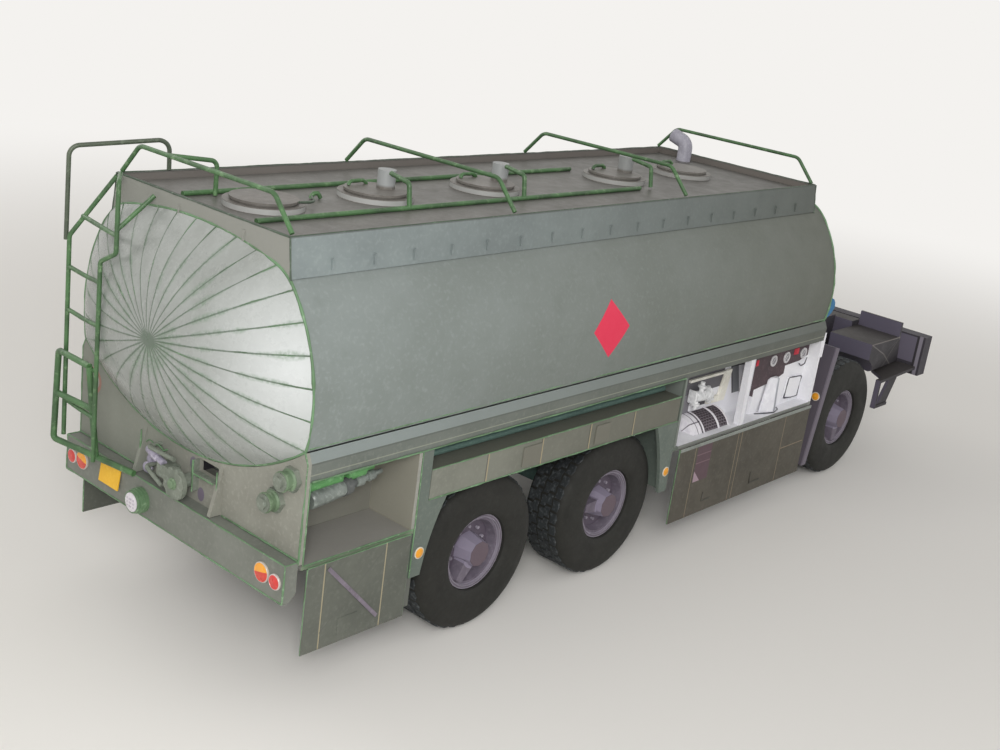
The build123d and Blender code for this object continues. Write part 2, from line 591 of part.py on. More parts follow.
# Rear lamps: a combination lamp and a reflector at each end, and a round lamp in a hood
COMBI_LAMP = (BODY_HALF - 6.6, BUMPER_Z[1] - 4.0)
REFLECTOR = (BODY_HALF - 2.5, BUMPER_Z[1] - 4.4)
TOW_LAMP = (9.0, BUMPER_Z[1] - 4.6)
with BuildPart() as rear_lamps:
    for side in (-1, 1):
        across(-BUMPER_DEPTH - 0.5, (side * COMBI_LAMP[0], COMBI_LAMP[1]), 0.5, 2.2)
        across(-BUMPER_DEPTH - 0.5, (side * REFLECTOR[0], REFLECTOR[1]), 0.5, 1.7)
    across(-BUMPER_DEPTH - 2.3, TOW_LAMP, 2.3, 2.9)
    across(-BUMPER_DEPTH - 3.0, TOW_LAMP, 0.7, 2.4)
write(rear_lamps, "rear_lamps")

# Blank number plate, leaning out at its foot
PLATE_Y = (17.1, 24.5)
PLATE_Z = (BUMPER_Z[0] + 3.0, BUMPER_Z[1] - 0.5)
PLATE_LEAN = 0.7
plate_back = -BUMPER_DEPTH
with BuildPart() as number_plate:
    side_plate(((plate_back, PLATE_Z[1]), (plate_back - FILM_GAP, PLATE_Z[1]),
                (plate_back - FILM_GAP - PLATE_LEAN, PLATE_Z[0]), (plate_back - PLATE_LEAN, PLATE_Z[0])),
               PLATE_Y[1], PLATE_Y[1] - PLATE_Y[0])
write(number_plate, "number_plate")

# Lockers at the rear corners: floor, inner wall and front wall
with BuildPart() as lockers:
    floor = (LOCKER_FLOOR_Z - CARD, LOCKER_FLOOR_Z)
    slab(LOCKER_SPAN, (LOCKER_INNER_Y, BODY_HALF), floor)
    slab(LOCKER_SPAN, (LOCKER_INNER_Y, LOCKER_INNER_Y + CARD), (floor[0], ROOF_Z))
    slab((LOCKER_SPAN[1] - CARD, LOCKER_SPAN[1]), (LOCKER_INNER_Y, BODY_HALF), (floor[0], ROOF_Z))
    tank_cut((0, LOCKER_SPAN[1] + 1))
    mirror(about=Plane.XZ)
write(lockers, "lockers")

# Rods held by two hangers under the locker roof, in a table
# columns: Y inboard of the body's side, height below the roof, radius
LOCKER_RODS = ((3.0, 2.8, 1.5), (5.8, 3.8, 1.2))
HANGER_STARTS = (LOCKER_SPAN[0] + 3.5, LOCKER_SPAN[1] - 7.2)
with BuildPart() as locker_tools:
    for inboard, below, radius in LOCKER_RODS:
        across(LOCKER_SPAN[0] + 2.0, (inboard - BODY_HALF, ROOF_Z - below), 22.0, radius)
    for start in HANGER_STARTS:
        slab((start, start + 1.5), (1.6 - BODY_HALF, 7.0 - BODY_HALF), (ROOF_Z - 5.0, ROOF_Z))
    tank_cut((0, LOCKER_SPAN[1]))
write(locker_tools, "locker_tools")

# Pump cabinets: a deep rear bay, a step and a shallow front bay, with a bar between
with BuildPart() as pump_cabinets:
    floor = (PUMP_FLOOR_Z - CARD, PUMP_FLOOR_Z)
    wall_z = (floor[0], ROOF_Z)
    slab(PUMP_SPAN, (PUMP_DEEP_Y - CARD, BODY_HALF), floor)
    slab((PUMP_SPAN[0], PUMP_STEP + CARD), (PUMP_DEEP_Y - CARD, PUMP_DEEP_Y), wall_z)
    slab((PUMP_STEP, PUMP_STEP + CARD), (PUMP_DEEP_Y - CARD, PUMP_SHALLOW_Y), wall_z)
    slab((PUMP_STEP, PUMP_SPAN[1]), (PUMP_SHALLOW_Y - CARD, PUMP_SHALLOW_Y), wall_z)
    slab((PUMP_SPAN[0], PUMP_SPAN[0] + CARD), (PUMP_DEEP_Y - CARD, BODY_HALF), wall_z)
    slab((PUMP_SPAN[1] - CARD, PUMP_SPAN[1]), (PUMP_SHALLOW_Y - CARD, BODY_HALF), wall_z)
    slab(PUMP_BAR, (BODY_HALF - 2.2, BODY_HALF - SEAT_GAP), (PUMP_FLOOR_Z, ROOF_Z))
    slab((PUMP_SPAN[1], PUMP_SPAN[1] + 1.2), (BODY_HALF - CARD, BODY_HALF), PUMP_STRIP_Z)
    tank_cut((PUMP_SPAN[0] - 1, PUMP_SPAN[1] + 2))
    mirror(about=Plane.XZ)
write(pump_cabinets, "pump_cabinets")

# Equipment in the right pump cabinet
DRUM_R = 7.0
DRUM_SPAN = (PUMP_SPAN[0] + 16.0, PUMP_SPAN[0] + 31.3)
PANEL_THICK = 0.6
DIAL_R = 1.8
DIAL_THICK = 0.3
# instrument panel outline, columns: station from the cabinet's rear, height below the roof
PANEL_OUTLINE = ((40.0, 12.5), (55.0, 11.0), (60.5, 9.5), (60.5, 7.0), (69.0, 6.7), (73.8, 5.5),
                 (73.8, 0.2), (40.0, 0.2))
# dials, columns: station from the cabinet's rear, height below the roof
DIALS = ((52.5, 4.2), (60.2, 4.3), (70.4, 4.4))
# plan of the standing box, columns: station from the cabinet's rear, Y out from the shallow wall
BOX_PLAN = ((49.0, PANEL_THICK), (49.0, 1.6), (53.5, 3.3), (57.0, 2.0), (57.0, PANEL_THICK))
BOX_HEIGHT = 12.0
# parts on the deep wall, columns: first and last station, depth off the wall, bottom, top
WALL_PARTS = ((15.5, 37.0, 0.9, 13.4, 14.3), (34.6, 37.0, 0.9, 4.7, 14.3),
              (18.5, 25.0, 3.2, 6.4, 10.4), (26.4, 28.0, 3.6, 5.6, 11.2), (29.0, 33.0, 2.2, 6.2, 9.4),
              (19.6, 23.0, 2.4, 10.4, 12.2), (18.5, 33.0, 1.4, 7.2, 9.0))
TRAY = (63.0, 72.4, 0.9, 1.2, 9.0)
with BuildPart() as pump_set:
    across(DRUM_SPAN[0], (-PUMP_DEEP_Y, PUMP_FLOOR_Z - 2.5), DRUM_SPAN[1] - DRUM_SPAN[0],
           DRUM_R)
    slab(PUMP_SPAN, (-PUMP_DEEP_Y, 0), (0, ROOF_Z), mode=Mode.SUBTRACT)
    slab(PUMP_SPAN, (-BODY_HALF, 0), (0, PUMP_FLOOR_Z), mode=Mode.SUBTRACT)
    for first, last, depth, bottom, top in WALL_PARTS:
        slab((PUMP_SPAN[0] + first, PUMP_SPAN[0] + last), (-PUMP_DEEP_Y - depth, -PUMP_DEEP_Y),
             (PUMP_FLOOR_Z + bottom, PUMP_FLOOR_Z + top))
    side_plate([(PUMP_SPAN[0] + s, ROOF_Z - below) for s, below in PANEL_OUTLINE],
               -PUMP_SHALLOW_Y, PANEL_THICK)
    for s, below in DIALS:
        with BuildSketch(Plane.XZ.offset(PUMP_SHALLOW_Y + PANEL_THICK)):
            with Locations((at(PUMP_SPAN[0] + s), ROOF_Z - below)):
                Circle(DIAL_R)
        extrude(amount=DIAL_THICK)
    with BuildSketch(Plane.XY.offset(PUMP_FLOOR_Z)):
        Polygon(*[(at(PUMP_SPAN[0] + s), -PUMP_SHALLOW_Y - out) for s, out in BOX_PLAN], align=None)
    extrude(amount=BOX_HEIGHT)
    first, last, depth, bottom, top = TRAY
    slab((PUMP_SPAN[0] + first, PUMP_SPAN[0] + last), (-PUMP_SHALLOW_Y - depth, -PUMP_SHALLOW_Y),
         (PUMP_FLOOR_Z + bottom, PUMP_FLOOR_Z + top))
write(pump_set, "pump_set")

# Drop-down doors hanging from their hinge lines
DOORS = {"locker_door": (LOCKER_DOOR_SPAN, LOCKER_FLOOR_Z - HINGE_DROP, LOCKER_DOOR_DROP),
         "pump_door": (PUMP_DOOR_SPAN, PUMP_FLOOR_Z - HINGE_DROP, PUMP_DOOR_DROP)}
for name, (stations, top, drop) in DOORS.items():
    for hand, side in (("right", -1), ("left", 1)):
        with BuildPart() as door:
            slab(stations, (side * (HINGE_Y - DOOR_THICK / 2), side * (HINGE_Y + DOOR_THICK / 2)),
                 (top - drop, top))
        write(door, f"{name}_{hand}")

# Fenders over the rear wheels, each with two thin cover plates
COVER_PLATES = ((FENDER_SPAN[0] + 30.2, FENDER_SPAN[0] + 36.6),
                (FENDER_SPAN[0] + 57.7, FENDER_SPAN[0] + 63.4))
PLATE_PROUD = 0.3
with BuildPart() as fenders:
    slab(FENDER_SPAN, (BODY_HALF - CARD, BODY_HALF), FENDER_Z)
    slab(FENDER_SPAN, (FENDER_INNER_Y, BODY_HALF), (FENDER_Z[1] - CARD, FENDER_Z[1]))
    for span in COVER_PLATES:
        slab(span, (BODY_HALF, BODY_HALF + PLATE_PROUD), (FENDER_Z[0] + 0.9, FENDER_Z[1] - 1.2))
    tank_cut((FENDER_SPAN[0] - 1, FENDER_SPAN[1] + 1))
    mirror(about=Plane.XZ)
write(fenders, "fenders")

# A hose tube in the trough above each fender
with BuildPart() as hose_tubes:
    for side in (-1, 1):
        across(FENDER_SPAN[0] + 1, (side * HOSE_Y, FENDER_Z[1] + HOSE_R),
               FENDER_SPAN[1] - FENDER_SPAN[0] - 2, HOSE_R)
write(hose_tubes, "hose_tubes")

# Corner plates with arched edges behind and before the rear wheels, each with a cross wall
ARCH_REACH = (22.7, 21.2, 16.9)
MID_ARCH_REACH = (19.0, 17.5, 13.1)
rear_arch = [REAR_AXLE - reach for reach in ARCH_REACH]
mid_arch = [MID_AXLE + reach for reach in MID_ARCH_REACH]
with BuildPart() as posts:
    for edge, arch, bottom in ((REAR_POST_START, rear_arch, REAR_POST_BOTTOM),
                               (MID_POST_END, mid_arch, MID_POST_BOTTOM)):
        middle_z = bottom + 0.4 * (POST_TOP - bottom)
        with BuildSketch(Plane.XZ.offset(-BODY_HALF)) as corner:
            with BuildLine():
                Line((at(edge), bottom), (at(arch[0]), bottom))
                ThreePointArc((at(arch[0]), bottom), (at(arch[1]), middle_z), (at(arch[2]), POST_TOP))
                Line((at(arch[2]), POST_TOP), (at(edge), POST_TOP))
                Line((at(edge), POST_TOP), (at(edge), bottom))
            make_face()
        extrude(corner.sketch, amount=CARD)
    slab((REAR_POST_START, REAR_POST_START + CARD), (FLAP_INNER_Y + 2, BODY_HALF),
         (REAR_POST_BOTTOM, POST_TOP))
    slab((REAR_POST_START, FENDER_SPAN[0] - SEAT_GAP), (BODY_HALF - CARD, BODY_HALF),
         (POST_TOP, ROOF_Z - SEAT_GAP))
    slab((MID_POST_END - CARD, MID_POST_END), (FLAP_INNER_Y + 3, BODY_HALF), (MID_POST_BOTTOM, POST_TOP))
    mirror(about=Plane.XZ)
write(posts, "posts")

# Mud flaps: a short one under each rear corner, a leaning one behind each front wheel
with BuildPart() as mud_flaps:
    slab((REAR_POST_START, REAR_POST_START + 2.3), (FLAP_INNER_Y, FLAP_OUTER_Y),
         (REAR_POST_BOTTOM - REAR_FLAP_DROP, REAR_POST_BOTTOM - SEAT_GAP))
    foot, top = FRONT_FLAP_FOOT, FRONT_FLAP_FOOT + FRONT_FLAP_LEAN
    side_plate(((foot, FRONT_FLAP_Z[0]), (foot + FRONT_FLAP_THICK, FRONT_FLAP_Z[0]),
                (top + FRONT_FLAP_THICK, FRONT_FLAP_Z[1]), (top, FRONT_FLAP_Z[1] + 0.5)),
               BODY_HALF, BODY_HALF - FLAP_INNER_Y)
    slab((foot + 4.4, top + 0.6), (RAIL_Y + RAIL_WIDTH / 2 + SEAT_GAP, FLAP_INNER_Y), FLAP_BRACKET_Z)
    mirror(about=Plane.XZ)
write(mud_flaps, "mud_flaps")

# Amber marker discs: one on each corner plate, one on the back of each front flap
SIDE_MARKERS = ((REAR_POST_START + 2.4, REAR_POST_BOTTOM + 5.6), (MID_POST_END - 1.7, MID_POST_BOTTOM + 6.0))
FLAP_MARKER_Z = 31.9
flap_marker_station = foot + FRONT_FLAP_LEAN * (FLAP_MARKER_Z - FRONT_FLAP_Z[0]) / 38.0
with BuildPart() as marker_lamps:
    for station, z in SIDE_MARKERS:
        with BuildSketch(Plane.XZ.offset(-BODY_HALF - MARKER_THICK)) as disc:
            with Locations((at(station), z)):
                Circle(MARKER_R)
        extrude(disc.sketch, amount=MARKER_THICK)
    across(flap_marker_station - 0.9, (FLAP_OUTER_Y - 0.3, FLAP_MARKER_Z), 0.6, MARKER_R)
    mirror(about=Plane.XZ)
write(marker_lamps, "marker_lamps")

# Front wall and the two wing boxes over the front wheels, their outer sides folded inward
FOLD_STATION = BUMPER_FRONT_START - 7.5
WING_FRONT = BUMPER_FRONT_START - SEAT_GAP
with BuildPart() as front_platform:
    slab((WALL_START, WING_SPAN[1]), (-WING_Y[0], WING_Y[0]), (STEP_TOP + 0.4, WALL_TOP))
    for side in (-1, 1):
        inner, outer, foot_y = side * WING_Y[0], side * WING_Y[1], side * WING_FOOT_Y
        corners = [(WING_SPAN[0], outer, WING_TOP), (WING_SPAN[1], outer, WING_TOP),
                   (WING_SPAN[0], inner, WING_TOP), (WING_SPAN[1], inner, WING_TOP),
                   (WING_SPAN[0], outer, WING_REAR_BOTTOM), (WING_SPAN[0], inner, WING_REAR_BOTTOM),
                   (FRONT_AXLE + 28.1, foot_y, STEP_TOP), (FRONT_AXLE + 28.1, inner, STEP_TOP),
                   (FOLD_STATION, foot_y, STEP_TOP), (WING_FRONT, foot_y, STEP_TOP),
                   (WING_FRONT, inner, STEP_TOP)]
        add(ConvexPolyhedron([(at(s), y, z) for s, y, z in corners]))
        slab((WING_SPAN[1] - CARD, WING_SPAN[1]), (inner, outer), (WING_TOP - CARD, UPSTAND_TOP))
    with BuildSketch(Plane.XZ) as arch_face:
        with Locations((at(FRONT_AXLE), AXLE_Z)):
            Circle(ARCH_R)
    extrude(arch_face.sketch, amount=BODY_HALF, both=True, mode=Mode.SUBTRACT)
write(front_platform, "front_platform")

# Side steps: a tread beside each wing box, and a lower step hung under its rear
step_z = (STEP_TOP - CARD, STEP_TOP)
lower_inner_y = BODY_HALF - 1.4
with BuildPart() as side_steps:
    with BuildSketch(Plane.XY.offset(step_z[0])):
        Polygon((at(STEP_SPAN[0]), STEP_CLEAR_Y), (at(STEP_SPAN[0]), BODY_HALF),
                (at(STEP_SPAN[1]), BODY_HALF - 1.3), (at(STEP_SPAN[1]), WING_FOOT_Y + SEAT_GAP),
                (at(FRONT_AXLE + 28.1), WING_FOOT_Y + SEAT_GAP),
                (at(FRONT_AXLE + 22.5), STEP_CLEAR_Y), align=None)
    extrude(amount=CARD)
    slab((STEP_SPAN[0], STEP_SPAN[0] + CARD), (STEP_CLEAR_Y, BODY_HALF), (LOWER_STEP_Z, step_z[0]))
    slab((STEP_SPAN[0], STEP_SPAN[0] + 9.0), (STEP_CLEAR_Y, BODY_HALF), (LOWER_STEP_Z, LOWER_STEP_Z + CARD))
    side_plate(((FRONT_AXLE + 20.5, LOWER_STEP_Z), (FRONT_AXLE + 27.0, LOWER_STEP_Z),
                (FRONT_AXLE + 32.0, step_z[0]), (FRONT_AXLE + 26.4, step_z[0])),
               lower_inner_y + CARD, CARD)
    mirror(about=Plane.XZ)
write(side_steps, "side_steps")

# Front bumper
with BuildPart() as front_bumper:
    slab((BUMPER_FRONT_START, BUMPER_FRONT_START + BUMPER_FRONT_DEPTH), (-BODY_HALF, BODY_HALF),
         BUMPER_FRONT_Z)
write(front_bumper, "front_bumper")
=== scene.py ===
# %% [markdown]
# # A glued card tanker truck, dressed in Blender
# The object is a hand-made card model of a six-wheeled fuel tanker with no cab. Its solids come from CAD as
# a fixed frame. This lesson gives them their finishes and adds what CAD leaves out: tread, bolts, painted
# seams, prints and small fittings. Lengths are in millimetres wherever a name says so, and one function
# turns them into the frame's metres.

# %% Load the frame
import math

import bmesh
import bpy
from mathutils import Matrix, Vector


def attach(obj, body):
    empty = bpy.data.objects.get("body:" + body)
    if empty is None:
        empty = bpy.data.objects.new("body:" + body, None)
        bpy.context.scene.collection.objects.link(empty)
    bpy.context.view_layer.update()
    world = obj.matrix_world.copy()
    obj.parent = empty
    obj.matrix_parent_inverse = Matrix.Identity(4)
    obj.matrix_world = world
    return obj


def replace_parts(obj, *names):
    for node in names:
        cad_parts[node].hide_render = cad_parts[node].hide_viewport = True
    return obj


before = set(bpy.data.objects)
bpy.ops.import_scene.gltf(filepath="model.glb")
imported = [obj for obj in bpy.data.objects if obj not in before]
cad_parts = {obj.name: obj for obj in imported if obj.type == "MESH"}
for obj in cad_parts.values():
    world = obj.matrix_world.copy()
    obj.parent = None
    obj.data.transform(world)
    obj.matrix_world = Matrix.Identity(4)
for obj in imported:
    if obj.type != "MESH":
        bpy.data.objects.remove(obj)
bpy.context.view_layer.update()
MM = 0.001
REAR_X = -140.0


# %% [markdown]
# ## Places
# The model is measured in stations, counted forward from its rear panel, so every place in this file is a
# station, a Y and a height in millimetres. The tank runs from station 0 to the station of its length.

# %% A place on the truck
TANK_LENGTH = 205.0


def spot(station, y, z):
    """A point given by station, Y and height in millimetres, as metres in the frame."""
    return Vector(((REAR_X + station) * MM, y * MM, z * MM))


print("the rear panel's middle is at", [round(v, 4) for v in spot(0, 0, 45)])


# %% [markdown]
# ## The camera
# The camera was fitted to the wheel rims, the panel corners and the tank's rim. It stands behind the right
# rear corner, a little above the deck, and is rolled by about 8 degrees, as a hand-held camera often is.
# Its axes are worked out from azimuth, elevation and roll, so that each can be changed alone.

# %% Camera
AZIMUTH, ELEVATION, ROLL = (math.radians(v) for v in (-50.6, 18.35, 7.935))
LENS_MM = 47.87
CAMERA_PLACE_MM = (-299.63, -214.31, 157.2)


def camera_turn():
    """The camera's right, up and back axes as a turn."""
    back = Vector((math.sin(AZIMUTH) * math.cos(ELEVATION), -math.cos(AZIMUTH) * math.cos(ELEVATION),
                   math.sin(ELEVATION)))
    level_right = (-back).cross(Vector((0, 0, 1))).normalized()
    level_up = level_right.cross(-back)
    right = level_right * math.cos(ROLL) + level_up * math.sin(ROLL)
    up = level_up * math.cos(ROLL) - level_right * math.sin(ROLL)
    return Matrix((right, up, back)).transposed()


camera_data = bpy.data.cameras.new("photo_camera")
camera_data.lens = LENS_MM
camera_data.clip_start = 0.01
camera = bpy.data.objects.new("photo_camera", camera_data)
bpy.context.scene.collection.objects.link(camera)
camera.matrix_world = Matrix.Translation(Vector(CAMERA_PLACE_MM) * MM) @ camera_turn().to_4x4()
bpy.context.scene.camera = camera
print("camera at", [round(v, 3) for v in camera.location])


# %% [markdown]
# ## Colours and nodes
# Every colour in this file is an sRGB hex value, as a colour picker shows it. Cycles mixes light in linear
# values, so one function converts. A second one adds any node: a socket is linked, anything else is typed
# in.

# %% Colour and node helpers
def paint(hex_colour):
    """An sRGB hex colour as linear red, green, blue and a full alpha."""
    parts = [int(hex_colour[i:i + 2], 16) / 255 for i in (1, 3, 5)]
    return tuple(v / 12.92 if v <= 0.04045 else ((v + 0.055) / 1.055) ** 2.4 for v in parts) + (1.0,)


def node(tree, kind, inputs=None, **settings):
    """Adds a node, makes its own settings, then links or fills its inputs by name or number."""
    made = tree.nodes.new(kind)
    for setting, value in settings.items():
        setattr(made, setting, value)
    for key, value in (inputs or {}).items():
        if isinstance(value, bpy.types.NodeSocket):
            tree.links.new(value, made.inputs[key])
        else:
            made.inputs[key].default_value = value
    return made


print("a tank green in linear light:", [round(v, 3) for v in paint("#7d8577")])


# %% [markdown]
# ## Printed card
# Nearly everything here is card of about 250 g/m2, printed in colour and sealed with matt varnish. Such a
# print is never even: the ink lies in soft patches a centimetre or two across, there is a fine speckle,
# handling leaves scuffs, and the sheet is slightly wavy where glue wetted it. Each of those is a noise
# texture whose scale is one over its size in millimetres. A stencil function paints a colour wherever some
# coordinates lie in given ranges, and that is how printed marks get onto a CAD surface without changing its
# mesh.

# %% Places, stencils and fades
def millimetre_place(tree):
    """The object's own coordinates as station, Y and height in millimetres."""
    coordinates = node(tree, "ShaderNodeTexCoord").outputs["Object"]
    return node(tree, "ShaderNodeMapping", {"Vector": coordinates, "Location": (-REAR_X, 0, 0),
                                            "Scale": (1 / MM, 1 / MM, 1 / MM)}).outputs[0]


def stencil(tree, under, tests, hex_colour, strength=1.0):
    """The colour under, painted over where each tested value lies between its two limits."""
    inside = None
    for value, low, high in tests:
        hit = node(tree, "ShaderNodeMath", {0: value, 1: (low + high) / 2, 2: (high - low) / 2},
                   operation="COMPARE").outputs[0]
        inside = hit if inside is None else node(tree, "ShaderNodeMath", {0: inside, 1: hit},
                                                 operation="MULTIPLY").outputs[0]
    inside = node(tree, "ShaderNodeMath", {0: inside, 1: strength}, operation="MULTIPLY").outputs[0]
    return node(tree, "ShaderNodeMix", {0: inside, 6: under, 7: paint(hex_colour)},
                data_type="RGBA").outputs[2]


def stencils(tree, colour, marks):
    """One stencil after another; each mark is its tests, its colour and its strength."""
    for tests, hex_colour, strength in marks:
        colour = stencil(tree, colour, tests, hex_colour, strength)
    return colour


def fade(tree, under, value, low, high, hex_colour, strength=1.0):
    """The colour under, growing into another one between two limits of a value."""
    share = node(tree, "ShaderNodeMapRange", {0: value, 1: low, 2: high, 4: strength}).outputs[0]
    return node(tree, "ShaderNodeMix", {0: share, 6: under, 7: paint(hex_colour)},
                data_type="RGBA").outputs[2]


def axes_of(tree, place):
    """Station, distance from the truck's middle plane, and height, each as a value."""
    parts = node(tree, "ShaderNodeSeparateXYZ", {0: place}).outputs
    return parts[0], node(tree, "ShaderNodeMath", {0: parts[1]}, operation="ABSOLUTE").outputs[0], parts[2]


def weigh(tree, first, factor, second, shift=0.0):
    """One value times a factor, plus another value, plus a number."""
    product = node(tree, "ShaderNodeMath", {0: first, 1: factor, 2: second},
                   operation="MULTIPLY_ADD").outputs[0]
    return node(tree, "ShaderNodeMath", {0: product, 1: shift}, operation="ADD").outputs[0]


def gap_from(tree, first, first_middle, second, second_middle, stretch=1.0):
    """How far a pair of coordinates is from a point, the second one shrunk by a stretch."""
    run = node(tree, "ShaderNodeMath", {0: first, 1: first_middle}, operation="SUBTRACT").outputs[0]
    rise = node(tree, "ShaderNodeMath", {0: second, 1: second_middle}, operation="SUBTRACT").outputs[0]
    rise = node(tree, "ShaderNodeMath", {0: rise, 1: stretch}, operation="DIVIDE").outputs[0]
    flat = node(tree, "ShaderNodeCombineXYZ", {0: run, 1: rise}).outputs[0]
    return node(tree, "ShaderNodeVectorMath", {0: flat}, operation="LENGTH").outputs["Value"]


def facing(tree, axis):
    """The surface normal's part along one axis of the frame: 0 for X, 1 for Y, 2 for Z."""
    geometry = node(tree, "ShaderNodeNewGeometry")
    return node(tree, "ShaderNodeSeparateXYZ", {0: geometry.outputs["Normal"]}).outputs[axis]


print("helpers for marks:", [f.__name__ for f in (stencil, fade, weigh, gap_from, facing)])

# %% [markdown]
# The card function puts these together. Patches, speckle and scuffs change the colour, the scuffs change
# the gloss too, and two bump nodes give the wavy sheet and the paper's grain.

# %% Card
def new_finish(name):
    """An empty material with its node tree, its shader and the place in millimetres."""
    finish = bpy.data.materials.new(name)
    finish.use_nodes = True
    tree = finish.node_tree
    return finish, tree, tree.nodes["Principled BSDF"], millimetre_place(tree)


def wire_shader(tree, shader, colour, roughness, normal):
    """Links a finish's colour, roughness and bumps to its shader."""
    for socket, value in (("Base Color", colour), ("Roughness", roughness), ("Normal", normal)):
        tree.links.new(value, shader.inputs[socket])


# paper fibres are about 0.05 mm wide, too fine to show here, so the grain is drawn ten times as coarse
SPECKLE_MM, SCUFF_MM, SHEET_WAVE_MM, FIBRE_MM = 0.9, 6.0, 24.0, 0.5


def card(name, ink, shade, light, patch_mm=16.0, gloss=0.62, wave=0.35, marks=None):
    """Printed and varnished card: patchy ink, speckle, scuffs, a slightly wavy sheet with paper grain."""
    finish, tree, shader, place = new_finish(name)
    patches = node(tree, "ShaderNodeTexNoise", {"Vector": place, "Scale": 1 / patch_mm, "Detail": 4.0,
                                                "Roughness": 0.6}).outputs[0]
    patch_share = node(tree, "ShaderNodeMapRange", {0: patches, 1: 0.3, 2: 0.66}).outputs[0]
    colour = node(tree, "ShaderNodeMix", {0: patch_share, 6: paint(shade), 7: paint(ink)},
                  data_type="RGBA").outputs[2]
    speckle = node(tree, "ShaderNodeTexNoise", {"Vector": place, "Scale": 1 / SPECKLE_MM,
                                                "Detail": 3.0}).outputs[0]
    colour = fade(tree, colour, speckle, 0.52, 0.78, light, 0.55)
    scuffs = node(tree, "ShaderNodeTexNoise", {"Vector": place, "Scale": 1 / SCUFF_MM, "Detail": 8.0,
                                               "Roughness": 0.72}).outputs[0]
    colour = fade(tree, colour, scuffs, 0.56, 0.7, shade, 0.38)
    if marks:
        colour = marks(tree, place, colour)
    roughness = node(tree, "ShaderNodeMapRange", {0: scuffs, 1: 0.3, 2: 0.7, 3: gloss - 0.09,
                                                  4: gloss + 0.1}).outputs[0]
    sheet = node(tree, "ShaderNodeTexNoise", {"Vector": place, "Scale": 1 / SHEET_WAVE_MM,
                                              "Detail": 1.5}).outputs[0]
    waves = node(tree, "ShaderNodeBump", {"Height": sheet, "Strength": wave, "Distance": 1.6 * MM}).outputs[0]
    fibres = node(tree, "ShaderNodeTexNoise", {"Vector": place, "Scale": 1 / FIBRE_MM,
                                               "Detail": 4.0}).outputs[0]
    grain = node(tree, "ShaderNodeBump", {"Height": fibres, "Strength": 0.4, "Distance": 0.05 * MM,
                                          "Normal": waves}).outputs[0]
    wire_shader(tree, shader, colour, roughness, grain)
    shader.inputs["IOR"].default_value = 1.47
    shader.inputs["Specular IOR Level"].default_value = 0.45
    return finish


print("paper grain is drawn", FIBRE_MM, "mm wide")


# %% [markdown]
# ## The finishes of this model
# The tank is printed olive grey, its top box and sills a bluer grey, the rear panels a neutral one. Doors
# are browner, the chassis a dark violet grey. Each finish keeps its own ink, shade and light value, because
# the eye reads a built model by the small differences between its sheets.

# %% Marks on the tank and the box
HAZARD_STATION, HAZARD_Z, HAZARD_HALF = 93.6, 70.7, 7.1
FENDER_JOINTS = (54.0, 73.1, 91.5, 109.8)


def tank_marks(tree, place, colour):
    """The tank darkens to olive towards the front, a painted shade, and carries a blank red diamond on each
    flank.
    """
    station, _, height = axes_of(tree, place)
    colour = fade(tree, colour, station, 0, TANK_LENGTH, "#575a50", 0.9)
    up = weigh(tree, station, 1.0, height, -HAZARD_STATION - HAZARD_Z)
    down = weigh(tree, height, -1.0, station, HAZARD_Z - HAZARD_STATION)
    return stencil(tree, colour, [(up, -HAZARD_HALF, HAZARD_HALF), (down, -HAZARD_HALF, HAZARD_HALF)],
                   "#dd2a4e", 0.97)


def box_marks(tree, place, colour):
    """Blue grey sides that darken to the front in a painted shade, a grey rear face, a brown inside and a
    dark top edge.
    """
    station, out, height = axes_of(tree, place)
    colour = fade(tree, colour, station, 0, TANK_LENGTH, "#4e524c", 0.9)
    return stencils(tree, colour, (
        ([(station, -1, 0.15)], "#8f8f88", 0.9),
        ([(station, 0.6, 200.2), (out, 0, 28.3)], "#716b66", 0.92),
        ([(height, 98.0, 98.4)], "#4c4f4b", 0.6)))


def sill_marks(tree, place, colour):
    """Upper facet lighter and bluer than the lower, a dark fold, a fine cream line, and painted shade to the
    front.
    """
    station, out, height = axes_of(tree, place)
    colour = stencil(tree, colour, [(height, 56.0, 59)], "#87908f", 0.75)
    colour = fade(tree, colour, station, 20, TANK_LENGTH, "#53564f", 0.8)
    return stencils(tree, colour, (
        ([(height, 55.6, 55.95)], "#595e59", 0.8),
        ([(height, 53.3, 53.55), (out, 38, 40)], "#9b9d8e", 0.55)))


def fender_marks(tree, place, colour):
    """Cream joints with a dark edge across the side, a darker outer plate, a dark upper deck, painted shade
    to the front.
    """
    station, out, height = axes_of(tree, place)
    side_face = (out, 38.9, 40)
    colour = fade(tree, colour, station, 36, 130, "#5f5e54", 0.85)
    for joint in FENDER_JOINTS:
        colour = stencils(tree, colour, (
            ([(station, joint - 0.2, joint + 0.2), side_face], "#a99b7c", 0.75),
            ([(station, joint - 0.6, joint - 0.25), side_face], "#4e4d46", 0.7)))
    return stencils(tree, colour, (
        ([(out, 39.15, 39.5)], "#6e6d63", 0.9),
        ([(height, 46.2, 47.2), (out, 0, 38.9)], "#5a5c53", 0.85)))


print("a hazard diamond's corner is", HAZARD_HALF, "mm from its middle")

# %% [markdown]
# The rear panel carries two blank oval plates and a round sign. On the doors the print shows where the
# sheet was creased: a pale line with a dark one beside it. Each crease is one station, so a loop stencils
# both lines.

# %% Marks on the rear and the lockers
OVALS = ((-3.8, 43.2), (-7.0, 37.3))
OVAL_STRETCH = 1.35
SIGN_Y, SIGN_Z = 34.4, 49.4
DOOR_FACE = (39.9, 41)
LOCKER_DOOR_CREASES = (6.4, 23.4)
PUMP_DOOR_CREASES = (141.3, 163.4, 165.4, 190.2)


